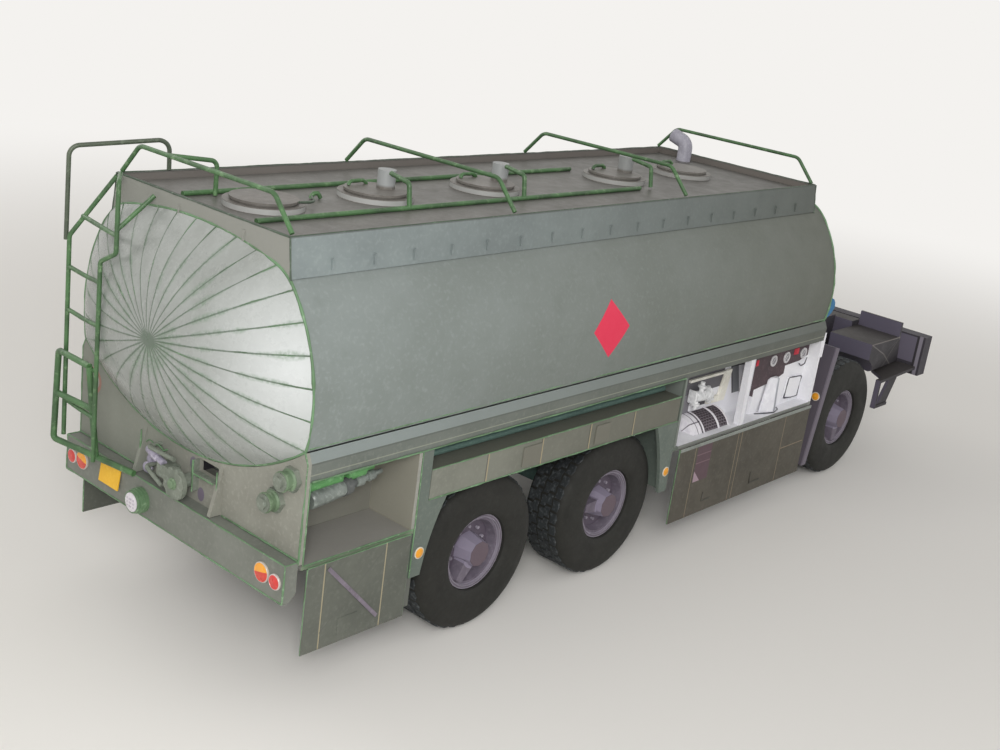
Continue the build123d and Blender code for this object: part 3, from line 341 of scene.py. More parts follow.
def rear_marks(tree, place, colour):
    """Two blank violet ovals beside the hole, a round sign with a red rim behind the ladder, and painted
    shade to the left.
    """
    parts = node(tree, "ShaderNodeSeparateXYZ", {0: place}).outputs
    panel_face = (parts[0], -0.5, 0.2)
    for middle_y, middle_z in OVALS:
        oval = gap_from(tree, parts[1], middle_y, parts[2], middle_z, OVAL_STRETCH)
        colour = stencil(tree, colour, [(oval, 0, 1.15), panel_face], "#6f6478", 0.9)
    sign = gap_from(tree, parts[1], SIGN_Y, parts[2], SIGN_Z)
    colour = stencils(tree, colour, (
        ([(sign, 0, 3.1), panel_face], "#d8452f", 0.92),
        ([(sign, 0, 2.2), panel_face], "#e6e0da", 0.95)))
    return fade(tree, colour, parts[1], -8, 12, "#80847b", 0.7)


def locker_marks(tree, place, colour):
    """A brown grey floor, a shaded inner wall, a lighter front wall, and a green outer edge of the floor."""
    station, out, height = axes_of(tree, place)
    return stencils(tree, colour, (
        ([(height, 33.9, 34.2), (out, 26.2, 38.8)], "#888681", 0.9),
        ([(out, 25, 26.2)], "#77766d", 0.85),
        ([(station, 31, 31.3)], "#8c8a7e", 0.9),
        ([(height, 32.5, 34.1), (out, 38.9, 39.2)], "#67805f", 0.7)))


def locker_door_marks(tree, place, colour):
    """Two cream creases with a dark edge, and one dark crease across."""
    station, out, height = axes_of(tree, place)
    door_face = (out, *DOOR_FACE)
    for crease in LOCKER_DOOR_CREASES:
        colour = stencils(tree, colour, (
            ([(station, crease - 0.17, crease + 0.17), door_face], "#a49a7e", 0.8),
            ([(station, crease + 0.2, crease + 0.42), door_face], "#545650", 0.6)))
    across = weigh(tree, station, -0.874, height)
    return stencil(tree, colour, [(across, 11.85, 12.35), (station, 6.4, 23.1), door_face], "#585a54", 0.65)


def pump_door_marks(tree, place, colour):
    """Cream creases where the sheet was folded, and a blank violet brown label with a pale corner."""
    station, out, height = axes_of(tree, place)
    door_face = (out, *DOOR_FACE)
    for crease in PUMP_DOOR_CREASES:
        colour = stencils(tree, colour, (
            ([(station, crease - 0.15, crease + 0.15), door_face], "#8a7c66", 0.8),
            ([(station, crease - 0.4, crease - 0.18), door_face], "#47463f", 0.6)))
    label = [(station, 142.4, 149.6), door_face]
    corner = weigh(tree, station, 1.0, height)
    return stencils(tree, colour, (
        ([(height, 19.7, 20.0), (station, 190.4, 204), door_face], "#8a7c66", 0.8),
        (label + [(height, 19.6, 30.6)], "#57434b", 0.92),
        (label + [(corner, 160, 165.4), (height, 19.6, 23.2)], "#a58f9a", 0.85),
        (label + [(height, 27.6, 27.9)], "#7a646a", 0.7),
        (label + [(height, 25.1, 25.4)], "#7a646a", 0.7)))


print("ovals on the rear panel:", len(OVALS))

# %% [markdown]
# The deep wall of the pump bay is printed with a dark background, drawn here band by band. At the front end
# some marks read the surface normal: faces that look to the rear get painted light, and tops get painted
# shade.

# %% Marks in the pump bay, on the deck and at the front
def bay_marks(tree, place, colour):
    """White card with the printed dark background of the deep wall, and a grey outer edge of the floor."""
    station, out, height = axes_of(tree, place)
    deep = [(out, 30.3, 30.7)]
    lean = weigh(tree, height, 0.36, station)
    return stencils(tree, colour, (
        (deep + [(station, 131, 165.2), (height, 41.5, 52)], "#4d4b50", 0.95),
        (deep + [(station, 131, 149), (height, 32, 41.5)], "#55525a", 0.85),
        (deep + [(station, 165.2, 178), (height, 34, 46)], "#e4e4ea", 0.8),
        (deep + [(lean, 185.6, 189.4), (height, 38, 52)], "#63666b", 0.9),
        (deep + [(lean, 185.2, 185.9), (height, 38, 52)], "#35353a", 0.9),
        (deep + [(station, 168.4, 178), (height, 46.5, 52)], "#3d3c42", 0.9),
        ([(station, 175.9, 176.1), (out, 30, 35.1), (height, 37.5, 52)], "#4b3a41", 0.95),
        ([(height, 30.9, 32.2), (out, 38.85, 39.2)], "#7c8078", 0.9),
        ([(station, 130.8, 133.4), (out, 38.4, 39.2)], "#5f685f", 0.92),
        ([(station, 130.8, 131.1)], "#5f685f", 0.92),
        ([(station, 166.5, 167.2), (out, 36.6, 39)], "#c3c4cc", 0.8),
        ([(out, 38.9, 39.2), (station, 164.5, 165.2), (height, 32.4, 52)], "#a9aab4", 0.7)))


def manhole_marks(tree, place, colour):
    """Pale cut edges round each flange and breather, lids in the card's brown grey, and painted shade to the
    front.
    """
    station, _, height = axes_of(tree, place)
    colour = stencil(tree, colour, [(height, 96.6, 97.7)], "#b5b6b4", 0.85)
    colour = fade(tree, colour, height, 99.0, 99.6, "#a7abac", 0.85)
    return fade(tree, colour, station, 60, TANK_LENGTH, "#6f6d68", 0.45)


def deck_marks(tree, place, colour):
    """The deck darkens towards the front, which is painted shade."""
    return fade(tree, colour, axes_of(tree, place)[0], 40, TANK_LENGTH, "#4a4945", 0.8)


def front_marks(tree, place, colour):
    """Painted light makes rear-looking faces a lighter violet, painted shade makes tops nearly black; side
    folds show pale.
    """
    station, out, height = axes_of(tree, place)
    colour = fade(tree, colour, facing(tree, 0), -0.3, -0.8, "#5f5a69", 0.9)
    colour = fade(tree, colour, facing(tree, 2), 0.5, 0.9, "#353230", 0.85)
    sideways = (node(tree, "ShaderNodeMath", {0: facing(tree, 1)}, operation="ABSOLUTE").outputs[0], 0.3, 1.1)
    side_face = [sideways, (station, 246, 285), (height, 30.9, 43.6)]
    long_crease = weigh(tree, height, 2.26, station)
    short_crease = weigh(tree, height, -0.23, station)
    return stencils(tree, colour, (
        (side_face + [(long_crease, 345.8, 346.8)], "#6e6a68", 0.8),
        (side_face + [(short_crease, 258.0, 258.5)], "#6e6a68", 0.8),
        ([sideways, (out, 36.2, 36.7), (height, 43.4, 43.9)], "#77726f", 0.8)))


def bumper_marks(tree, place, colour):
    """The front bumper's rear face: a violet plate, a dark band and a pale strip at its outer end."""
    station, out, height = axes_of(tree, place)
    rear = [(station, 284.5, 285.3)]
    return stencils(tree, colour, (
        (rear + [(out, 29.6, 36.0), (height, 31.7, 41)], "#686372", 0.9),
        (rear + [(out, 36.0, 36.8)], "#2f2c30", 0.9),
        (rear + [(out, 36.9, 38.2)], "#8b8692", 0.8)))


def flap_marks(tree, place, colour):
    """Painted light makes rear faces a lighter violet; the front flaps' outer edge is pale, the rear flaps
    grey green.
    """
    station, out, height = axes_of(tree, place)
    colour = fade(tree, colour, facing(tree, 0), -0.3, -0.8, "#554f58", 0.9)
    return stencils(tree, colour, (
        ([(out, 38.6, 39.2), (station, 205, 220)], "#77707c", 0.7),
        ([(station, 32, 35), (height, 13.5, 22)], "#63665f", 0.9)))


print("marks are ready for the bay, the deck and the front")

# %% [markdown]
# Now the cards themselves. The tank's patches are larger than those of small pieces, because its print was
# cut from one big sheet, and its varnish is a little glossier.

# %% Card for the bodywork
tank_print = card("olive_tank_card", "#858d8b", "#777f7b", "#939c9a", patch_mm=26.0, gloss=0.5,
                  marks=tank_marks)
box_print = card("blue_grey_box_card", "#869090", "#767f80", "#949e9d", patch_mm=14.0, marks=box_marks)
front_head_print = card("blue_head_card", "#2878a8", "#1d5f8a", "#3c8cba", gloss=0.5)
deck_print = card("brown_grey_deck_card", "#73716d", "#61605c", "#807e7a", patch_mm=20.0, gloss=0.45,
                  marks=deck_marks)
sill_print = card("grey_sill_card", "#6f756f", "#5f655f", "#7e847e", marks=sill_marks)
fender_print = card("grey_fender_card", "#7e8076", "#6d6f66", "#8b8d83", marks=fender_marks)
rear_print = card("grey_rear_card", "#95958c", "#828279", "#a3a399", marks=rear_marks)
bumper_print = card("dark_grey_rear_bumper_card", "#7a7d76", "#6b6e67", "#888b83")
post_print = card("green_grey_post_card", "#656e67", "#566059", "#747d76")
fitting_print = card("grey_fitting_card", "#7e8479", "#676e64", "#99a398", patch_mm=4.0)
vent_print = card("lilac_vent_card", "#aeadb8", "#918f9b", "#c9c8d2", patch_mm=4.0, gloss=0.45)
locker_print = card("grey_locker_card", "#9a9a93", "#868680", "#a7a79f", marks=locker_marks)
locker_door_print = card("grey_green_locker_door_card", "#60635b", "#52554e", "#6e7169",
                         marks=locker_door_marks)
pump_door_print = card("brown_grey_pump_door_card", "#524e45", "#45423a", "#605b52", marks=pump_door_marks)
chassis_print = card("violet_grey_chassis_card", "#3f3c42", "#312f35", "#514d55")
front_print = card("violet_grey_front_card", "#38363a", "#2c2a2e", "#49464c", marks=front_marks)
front_bumper_print = card("violet_grey_bumper_card", "#3b383f", "#2e2c32", "#4e4a53", marks=bumper_marks)
flap_print = card("dark_violet_flap_card", "#45414a", "#36333a", "#5a5560", marks=flap_marks)
white_print = card("white_interior_card", "#eeeef2", "#dcdce2", "#f6f6f8", gloss=0.6, marks=bay_marks)
tube_print = card("blue_green_tube_card", "#5c776f", "#4c635d", "#6f8a81")
manhole_print = card("grey_manhole_card", "#797570", "#66635e", "#8b8781", patch_mm=7.0, gloss=0.45,
                     marks=manhole_marks)
plate_print = card("yellow_plate_card", "#efbd38", "#dca82a", "#f6cc55", gloss=0.5)
print("card finishes:", len([m for m in bpy.data.materials if m.name.endswith("_card")]))


# %% [markdown]
# ## Painted wire and edge paint
# The builder bent the rails and ladder from steel wire and brushed them and every cut card edge with green
# paint. Brushed enamel has a soft gloss, is thin on the upper side where fingers rub it, and shows slow
# colour changes along its length.

# %% Enamel finishes
COAT_CHANGE_MM, RUB_MM = 7.0, 1.6


def enamel(name, coat, shade, worn, gloss=0.42):
    """Brushed enamel: slow colour changes, thin worn spots, small brush ridges."""
    finish, tree, shader, place = new_finish(name)
    slow = node(tree, "ShaderNodeTexNoise", {"Vector": place, "Scale": 1 / COAT_CHANGE_MM,
                                             "Detail": 3.0}).outputs[0]
    slow_share = node(tree, "ShaderNodeMapRange", {0: slow, 1: 0.35, 2: 0.65}).outputs[0]
    colour = node(tree, "ShaderNodeMix", {0: slow_share, 6: paint(shade), 7: paint(coat)},
                  data_type="RGBA").outputs[2]
    rubs = node(tree, "ShaderNodeTexNoise", {"Vector": place, "Scale": 1 / RUB_MM, "Detail": 5.0,
                                             "Roughness": 0.65}).outputs[0]
    colour = fade(tree, colour, rubs, 0.55, 0.72, worn, 0.8)
    roughness = node(tree, "ShaderNodeMapRange", {0: rubs, 1: 0.3, 2: 0.7, 3: gloss + 0.12,
                                                  4: gloss - 0.1}).outputs[0]
    ridges = node(tree, "ShaderNodeBump", {"Height": rubs, "Strength": 0.5, "Distance": 0.12 * MM}).outputs[0]
    wire_shader(tree, shader, colour, roughness, ridges)
    shader.inputs["IOR"].default_value = 1.5
    return finish


wire_paint = enamel("green_wire_enamel", "#4d7348", "#3b5638", "#7c9c72")
hand_wire_paint = enamel("grey_green_wire_enamel", "#56604f", "#454e41", "#7b8674")
edge_paint = enamel("green_edge_enamel", "#6b8f6a", "#587655", "#96b493", gloss=0.5)
dark_edge_paint = enamel("dark_green_edge_enamel", "#4a5a4a", "#3c493d", "#728372", gloss=0.5)
bright_rod_paint = enamel("bright_green_rod_enamel", "#5d9a5a", "#4a7f48", "#8cc088")
print("enamels:", len([m for m in bpy.data.materials if m.name.endswith("_enamel")]))


# %% [markdown]
# ## Giving CAD nodes their finishes
# A CAD node whose shape is right stays as it is, and only its object's material slot is filled. The slot is
# linked to the object and not to the mesh, so the mesh itself isn't touched.

# %% Dress the CAD nodes
NODE_FINISHES = {"tank_barrel": tank_print, "top_box": box_print, "deck": deck_print,
                 "manholes": manhole_print, "deck_pipes": wire_paint, "hoop_rear": wire_paint,
                 "hoop_mid_1": wire_paint, "hoop_mid_2": wire_paint, "hoop_front": wire_paint,
                 "vent_elbow": vent_print, "ladder": wire_paint, "ladder_step": wire_paint,
                 "ladder_hoop": hand_wire_paint, "sills": sill_print, "backbone": tube_print,
                 "frame_rails": chassis_print, "saddles": chassis_print, "rear_cabinet": rear_print,
                 "rear_fittings": fitting_print, "rear_bumper": bumper_print, "number_plate": plate_print,
                 "lockers": locker_print, "pump_cabinets": white_print, "fenders": fender_print,
                 "hose_tubes": tube_print, "posts": post_print, "mud_flaps": flap_print,
                 "front_platform": front_print, "side_steps": front_print,
                 "front_bumper": front_bumper_print}


def dress(name, finish):
    """Fills the material slot of a CAD node's object."""
    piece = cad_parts[name]
    if not piece.material_slots:
        piece.data.materials.append(None)
    for slot in piece.material_slots:
        slot.link = "OBJECT"
        slot.material = finish


for name, finish in NODE_FINISHES.items():
    dress(name, finish)
print("dressed", len(NODE_FINISHES), "CAD nodes")


# %% [markdown]
# ## Making pieces
# Each new piece is a mesh that becomes an object, rides on a CAD body and is smooth except at its sharp
# edges. Three more helpers take up what many meshes share: the finished mesh of a shape, corners that are
# merged, and walls between rings of corners.

# %% Piece helpers
def add_piece(name, mesh, body, finish=None, sharp_degrees=38.0):
    """A finished mesh as an object that rides on a body, smooth except at its sharp edges."""
    if finish:
        mesh.materials.clear()
        mesh.materials.append(finish)
    mesh.shade_smooth()
    mesh.set_sharp_from_angle(angle=math.radians(sharp_degrees))
    piece = bpy.data.objects.new(name, mesh)
    bpy.context.scene.collection.objects.link(piece)
    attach(piece, body)
    return piece


WELD_MM, SLIVER_MM = 0.005, 0.002


def plain_mesh(name, shape):
    """The finished mesh of a shape, which is freed."""
    mesh = bpy.data.meshes.new(name)
    shape.to_mesh(mesh)
    shape.free()
    return mesh


def weld(shape):
    """Merges doubled corners and takes out slivers."""
    bmesh.ops.remove_doubles(shape, verts=shape.verts, dist=WELD_MM * MM)
    bmesh.ops.dissolve_degenerate(shape, dist=SLIVER_MM * MM, edges=shape.edges)


def stack(shape, levels, lids):
    """Walls between neighbouring rings of corners, then the lids in the order given."""
    for lower, upper in zip(levels, levels[1:]):
        for i in range(len(lower)):
            j = (i + 1) % len(lower)
            shape.faces.new((lower[i], lower[j], upper[j], upper[i]))
    for lid in lids:
        shape.faces.new(lid)


print("corners closer than", WELD_MM, "mm are merged")

# %% [markdown]
# Now whole meshes. One helper spins a profile about an axis, as a turned or rolled piece is made. Another
# cuts card: it gives a flat outline its thickness and softens the edges, because cut card is never quite
# sharp.

# %% Turned, joined and cut meshes
TURN_STEPS = 96


def turned(name, profile, centre, along, steps=TURN_STEPS):
    """Pairs of distance along an axis and radius in millimetres, spun about it; radius 0 makes a pole."""
    along = Vector(along).normalized()
    across = along.orthogonal().normalized()
    turns = [Matrix.Rotation(2 * math.pi * k / steps, 3, along) @ across for k in range(steps)]
    shape = bmesh.new()
    rings = []
    for distance, radius in profile:
        middle = Vector(centre) + along * distance * MM
        if radius == 0:
            rings.append([shape.verts.new(middle)] * steps)
        else:
            rings.append([shape.verts.new(middle + turn * radius * MM) for turn in turns])
    if profile[0][1] > 0:
        rings.append(rings[0])
    for ring_a, ring_b in zip(rings, rings[1:]):
        for k in range(steps):
            j = (k + 1) % steps
            shape.faces.new(tuple(dict.fromkeys((ring_a[k], ring_a[j], ring_b[j], ring_b[k]))))
    bmesh.ops.recalc_face_normals(shape, faces=shape.faces)
    return plain_mesh(name, shape)


def joined_mesh(name, meshes):
    """Several meshes as one."""
    shape = bmesh.new()
    for mesh in meshes:
        shape.from_mesh(mesh)
    return plain_mesh(name, shape)


def cut_card(name, sheets, soften_mm=0.07):
    """Flat outlines of stations, Y and heights, pushed out by a vector in millimetres, edges softened."""
    shape = bmesh.new()
    for outline, push in sheets:
        near = [shape.verts.new(spot(*p)) for p in outline]
        far = [shape.verts.new(v.co + Vector(push) * MM) for v in near]
        shape.faces.new(near)
        shape.faces.new(far[::-1])
        for i, corner in enumerate(near):
            j = (i + 1) % len(near)
            shape.faces.new((near[j], corner, far[i], far[j]))
    bmesh.ops.recalc_face_normals(shape, faces=shape.faces)
    bmesh.ops.bevel(shape, geom=shape.edges[:], offset=soften_mm * MM, offset_type="OFFSET", segments=1,
                    profile=0.5, affect="EDGES")
    return plain_mesh(name, shape)


print("a turned piece has", TURN_STEPS, "steps unless it is small")

# %% [markdown]
# A Geometry Nodes tree gets its named inputs from one helper and its end from another. A third one runs it
# in a modifier on a source mesh and gives back the plain mesh, because the export needs a mesh and not a
# live modifier.

# %% Geometry Nodes helpers
def new_tree(name, inputs):
    """A Geometry Nodes tree with one geometry input and a named input for each size."""
    tree = bpy.data.node_groups.new(name, "GeometryNodeTree")
    tree.interface.new_socket("Geometry", in_out="OUTPUT", socket_type="NodeSocketGeometry")
    tree.interface.new_socket("Geometry", in_out="INPUT", socket_type="NodeSocketGeometry")
    for label, kind in inputs.items():
        tree.interface.new_socket(label, in_out="INPUT", socket_type="NodeSocket" + kind)
    return tree, node(tree, "NodeGroupInput").outputs


def end_tree(tree, geometry, material):
    """Ends a tree in real geometry with its material set, and gives the tree back."""
    real = node(tree, "GeometryNodeRealizeInstances", {0: geometry}).outputs[0]
    dressed = node(tree, "GeometryNodeSetMaterial", {"Geometry": real, "Material": material}).outputs[0]
    node(tree, "NodeGroupOutput", {0: dressed})
    return tree


def run_tree(tree, source, values):
    """The plain mesh that a tree makes from a source mesh."""
    holder = bpy.data.objects.new("tree_source", source)
    bpy.context.scene.collection.objects.link(holder)
    modifier = holder.modifiers.new("tree", "NODES")
    modifier.node_group = tree
    for item in tree.interface.items_tree:
        if item.in_out == "INPUT" and item.name in values:
            modifier[item.identifier] = values[item.name]
    holder.update_tag()
    bpy.context.view_layer.update()
    mesh = bpy.data.meshes.new_from_object(holder.evaluated_get(bpy.context.evaluated_depsgraph_get()))
    holder.modifiers.remove(modifier)
    bpy.data.objects.remove(holder)
    return mesh


def point_mesh(name, points, edges=()):
    """A mesh of points and edges only, as the source of a tree."""
    mesh = bpy.data.meshes.new(name)
    mesh.from_pydata(points, edges, [])
    return mesh


print("trees so far:", len(bpy.data.node_groups))


# %% [markdown]
# ## The tank's outline
# The tank's section is a chain of tangent arcs from the crown down the flank to a sharp lower corner, and
# one arc for the keel. Each arc is fixed by where it starts, the direction it leaves in, and where it ends.
# The seams and the rim paint lie on this outline, so it is worked out once.

# %% Tank outline
CROWN_Z, KEEL_Z = 95.2, 45.6
CREST, SHOULDER, WAIST, CORNER = (25.0, 92.4), (31.0, 88.7), (38.7, 71.5), (38.2, 58.4)
UPPER_GORES, LOWER_GORES = 10, 5
STEPS_PER_GORE = 6


def tangent_arc(start, heading, end, steps=40):
    """Points along the arc that leaves start along heading and reaches end, and its heading there."""
    start, heading, end = Vector(start), Vector(heading), Vector(end)
    side = Vector((-heading.y, heading.x))
    chord = end - start
    radius = chord.length_squared / (2 * side.dot(chord))
    centre = start + side * radius
    first = math.atan2(start.y - centre.y, start.x - centre.x)
    sweep = 2 * math.asin(max(-1.0, min(1.0, chord.length / (2 * radius))))
    points = [centre + Vector((math.cos(first + sweep * i / steps), math.sin(first + sweep * i / steps)))
              * abs(radius) for i in range(steps + 1)]
    out = end - centre
    return points, Vector((-out.y, out.x)) / radius


upper_line, heading = tangent_arc((0, CROWN_Z), (1, 0), CREST)
for start, end in ((CREST, SHOULDER), (SHOULDER, WAIST), (WAIST, CORNER)):
    arc, heading = tangent_arc(start, heading, end)
    upper_line += arc[1:]
keel_line = tangent_arc((0, KEEL_Z), (1, 0), CORNER)[0][::-1]


def even_points(line, count):
    """Points at equal distances along a line of points."""
    reach = [0.0]
    for a, b in zip(line, line[1:]):
        reach.append(reach[-1] + (b - a).length)
    made, i = [], 0
    for k in range(count + 1):
        wanted = reach[-1] * k / count
        while i < len(reach) - 2 and reach[i + 1] < wanted:
            i += 1
        made.append(line[i].lerp(line[i + 1], (wanted - reach[i]) / (reach[i + 1] - reach[i])))
    return made


half_rim = even_points(upper_line, UPPER_GORES * STEPS_PER_GORE)
half_rim += even_points(keel_line, LOWER_GORES * STEPS_PER_GORE)[1:]
rim_loop = half_rim + [Vector((-p.x, p.y)) for p in half_rim[-2:0:-1]]
print("rim points:", len(rim_loop), "outline widest", round(max(p.x for p in half_rim), 2), "mm")


# %% [markdown]
# ## The gored heads
# Each end of the tank is a dome pieced from flat gores that fan out from the middle, like an umbrella. The
# shape follows a rule, so Geometry Nodes make it: a grid has one column for each point of the rim and one
# row for each ring, every row is the rim shrunk towards the middle, and each gore sags a little between its
# two seams, because flat card doesn't stretch into a dome. A noise adds the small dents of glued card. Two
# named attributes, the way out from the middle and the gap to the nearest seam, let the finish paint along
# the seams.

# %% Head tree
DENT_MM, HEAD_WELD_MM = 11.0, 0.01
tree, given = new_tree("gored_head", {
    "Depth": "Float", "Roundness": "Float", "Centre Height": "Float", "Rings": "Int", "Rim Points": "Int",
    "Points per Gore": "Int", "Sag": "Float", "Dents": "Float", "Seed": "Float", "Finish": "Material"})
columns = node(tree, "ShaderNodeMath", {0: given["Rim Points"], 1: 1.0}, operation="ADD").outputs[0]
grid = node(tree, "GeometryNodeMeshGrid", {"Vertices X": given["Rings"], "Vertices Y": columns}).outputs[0]
index = node(tree, "GeometryNodeInputIndex").outputs[0]
column = node(tree, "ShaderNodeMath", {0: index, 1: columns}, operation="MODULO").outputs[0]
ring = node(tree, "ShaderNodeMath", {0: index, 1: columns}, operation="DIVIDE").outputs[0]
ring = node(tree, "ShaderNodeMath", {0: ring}, operation="FLOOR").outputs[0]
rim_index = node(tree, "ShaderNodeMath", {0: column, 1: given["Rim Points"]}, operation="MODULO").outputs[0]
position = node(tree, "GeometryNodeInputPosition").outputs[0]
sampler = node(tree, "GeometryNodeSampleIndex", {"Geometry": given["Geometry"], "Index": rim_index},
               data_type="FLOAT_VECTOR")
tree.links.new(position, sampler.inputs["Value"])
last_ring = node(tree, "ShaderNodeMath", {0: given["Rings"], 1: 1.0}, operation="SUBTRACT").outputs[0]
inward = node(tree, "ShaderNodeMath", {0: ring, 1: last_ring}, operation="DIVIDE").outputs[0]
share = node(tree, "ShaderNodeMath", {0: 1.0, 1: inward}, operation="SUBTRACT").outputs[0]
rise = node(tree, "ShaderNodeMath", {0: share, 1: given["Roundness"]}, operation="POWER").outputs[0]
rise = node(tree, "ShaderNodeMath", {0: 1.0, 1: rise}, operation="SUBTRACT").outputs[0]
gore_place = node(tree, "ShaderNodeMath", {0: column, 1: given["Points per Gore"]},
                  operation="DIVIDE").outputs[0]
gore_place = node(tree, "ShaderNodeMath", {0: gore_place}, operation="FRACT").outputs[0]
sag = node(tree, "ShaderNodeMath", {0: gore_place, 1: math.pi}, operation="MULTIPLY").outputs[0]
sag = node(tree, "ShaderNodeMath", {0: sag}, operation="SINE").outputs[0]
sag = node(tree, "ShaderNodeMath", {0: sag, 1: given["Sag"]}, operation="MULTIPLY").outputs[0]
sag = node(tree, "ShaderNodeMath", {0: sag, 1: share}, operation="MULTIPLY").outputs[0]
centre = node(tree, "ShaderNodeCombineXYZ", {2: given["Centre Height"]}).outputs[0]
parts = node(tree, "ShaderNodeSeparateXYZ", {0: sampler.outputs["Value"]}).outputs
flat_rim = node(tree, "ShaderNodeCombineXYZ", {1: parts[1], 2: parts[2]}).outputs[0]
arm = node(tree, "ShaderNodeVectorMath", {0: flat_rim, 1: centre}, operation="SUBTRACT").outputs[0]
arm = node(tree, "ShaderNodeVectorMath", {0: arm, "Scale": share}, operation="SCALE").outputs[0]
ring_point = node(tree, "ShaderNodeVectorMath", {0: centre, 1: arm}, operation="ADD").outputs[0]
dents = node(tree, "ShaderNodeTexNoise", {"Vector": ring_point, "W": given["Seed"],
                                          "Scale": 1 / (DENT_MM * MM), "Detail": 2.0},
             noise_dimensions="4D").outputs[0]
dents = node(tree, "ShaderNodeMath", {0: dents, 1: given["Dents"]}, operation="MULTIPLY").outputs[0]
fall = node(tree, "ShaderNodeMath", {0: sag, 1: dents}, operation="ADD").outputs[0]
fall = node(tree, "ShaderNodeMath", {0: fall, 1: rise}, operation="MULTIPLY").outputs[0]
low = node(tree, "ShaderNodeMath", {0: 1.0, 1: fall}, operation="SUBTRACT").outputs[0]
out = node(tree, "ShaderNodeMath", {0: rise, 1: low}, operation="MULTIPLY").outputs[0]
out = node(tree, "ShaderNodeMath", {0: out, 1: given["Depth"]}, operation="MULTIPLY").outputs[0]
out = node(tree, "ShaderNodeMath", {0: out, 1: parts[0]}, operation="ADD").outputs[0]
forward_shift = node(tree, "ShaderNodeCombineXYZ", {0: out}).outputs[0]
head_point = node(tree, "ShaderNodeVectorMath", {0: forward_shift, 1: ring_point}, operation="ADD").outputs[0]
placed = node(tree, "GeometryNodeSetPosition", {"Geometry": grid, "Position": head_point}).outputs[0]
rest = node(tree, "ShaderNodeMath", {0: 1.0, 1: gore_place}, operation="SUBTRACT").outputs[0]
seam_gap = node(tree, "ShaderNodeMath", {0: gore_place, 1: rest}, operation="MINIMUM").outputs[0]
marked = node(tree, "GeometryNodeStoreNamedAttribute", {"Geometry": placed, "Name": "seam_gap",
                                                        "Value": seam_gap}).outputs[0]
marked = node(tree, "GeometryNodeStoreNamedAttribute", {"Geometry": marked, "Name": "way_out",
                                                        "Value": share}).outputs[0]
joined = node(tree, "GeometryNodeMergeByDistance",
              {"Geometry": marked, "Distance": HEAD_WELD_MM * MM}).outputs[0]
head_tree = end_tree(tree, joined, given["Finish"])
print("head tree nodes:", len(head_tree.nodes))


# %% [markdown]
# Run the tree at both ends. The rear head is the showpiece of the photograph, so it gets deeper dents. Its
# rim is closed by a flat disc inside the tank, so that the piece is a closed form whose faces all point
# outwards.

# %% Rear and front head
HEAD_CENTRE_Z = 70.9
HEAD_RINGS = 22
HEAD_ROUNDNESS = 2.4
GORE_WIDTH_MM, STROKE_MM, BRISTLE_MM = 8.0, 9.0, 0.7
# a painted highlight lies on the right edge of the rear head
GLARE_Y, GLARE_Z, GLARE_REACH = -35.0, 74.0, 23.0


def gored_head(name, cad_node, rim_station, depth_mm, sag, dents, seed, finish):
    """One domed end, made by the tree on the tank's rim and closed at its back."""
    rim = point_mesh("rim_points", [spot(rim_station, p.x, p.y) for p in rim_loop])
    mesh = run_tree(head_tree, rim, {
        "Depth": depth_mm * MM, "Roundness": HEAD_ROUNDNESS, "Centre Height": HEAD_CENTRE_Z * MM,
        "Rings": HEAD_RINGS, "Rim Points": len(rim_loop), "Points per Gore": STEPS_PER_GORE, "Sag": sag,
        "Dents": dents, "Seed": seed, "Finish": finish})
    shell = bmesh.new()
    shell.from_mesh(mesh)
    weld(shell)
    bmesh.ops.holes_fill(shell, edges=[e for e in shell.edges if e.is_boundary])
    bmesh.ops.recalc_face_normals(shell, faces=shell.faces)
    shell.to_mesh(mesh)
    shell.free()
    piece = add_piece(name, mesh, "body", finish, sharp_degrees=12.0)
    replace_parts(piece, cad_node)
    print(name, len(mesh.polygons), "faces")


def seam_marks(tree, place, colour):
    """Along each seam a thin dark crease and a green smear of varying width; a painted highlight near the
    right edge.
    """
    gap = node(tree, "ShaderNodeAttribute", attribute_name="seam_gap").outputs["Fac"]
    way_out = node(tree, "ShaderNodeAttribute", attribute_name="way_out").outputs["Fac"]
    from_seam = node(tree, "ShaderNodeMath", {0: gap, 1: way_out}, operation="MULTIPLY").outputs[0]
    from_seam = node(tree, "ShaderNodeMath", {0: from_seam, 1: GORE_WIDTH_MM},
                     operation="MULTIPLY").outputs[0]
    strokes = node(tree, "ShaderNodeTexNoise", {"Vector": place, "Scale": 1 / STROKE_MM,
                                                "Detail": 4.0}).outputs[0]
    reach = node(tree, "ShaderNodeMapRange", {0: strokes, 1: 0.4, 2: 0.7, 3: 0.12, 4: 1.7}).outputs[0]
    smear = node(tree, "ShaderNodeMath", {0: from_seam, 1: reach}, operation="DIVIDE").outputs[0]
    smear = node(tree, "ShaderNodeMapRange", {0: smear, 3: 0.72, 4: 0.0}).outputs[0]
    bristles = node(tree, "ShaderNodeTexNoise", {"Vector": place, "Scale": 1 / BRISTLE_MM,
                                                 "Detail": 3.0}).outputs[0]
    bristles = node(tree, "ShaderNodeMapRange", {0: bristles, 1: 0.35, 2: 0.6, 3: 0.25}).outputs[0]
    smear = node(tree, "ShaderNodeMath", {0: smear, 1: bristles}, operation="MULTIPLY").outputs[0]
    parts = node(tree, "ShaderNodeSeparateXYZ", {0: place}).outputs
    from_glare = gap_from(tree, parts[1], GLARE_Y, parts[2], GLARE_Z)
    colour = fade(tree, colour, from_glare, GLARE_REACH, 1, "#d6dadb", 0.8)
    colour = node(tree, "ShaderNodeMix", {0: smear, 6: colour, 7: paint("#587a59")},
                  data_type="RGBA").outputs[2]
    return stencil(tree, colour, [(from_seam, 0, 0.2)], "#59665a", 0.75)


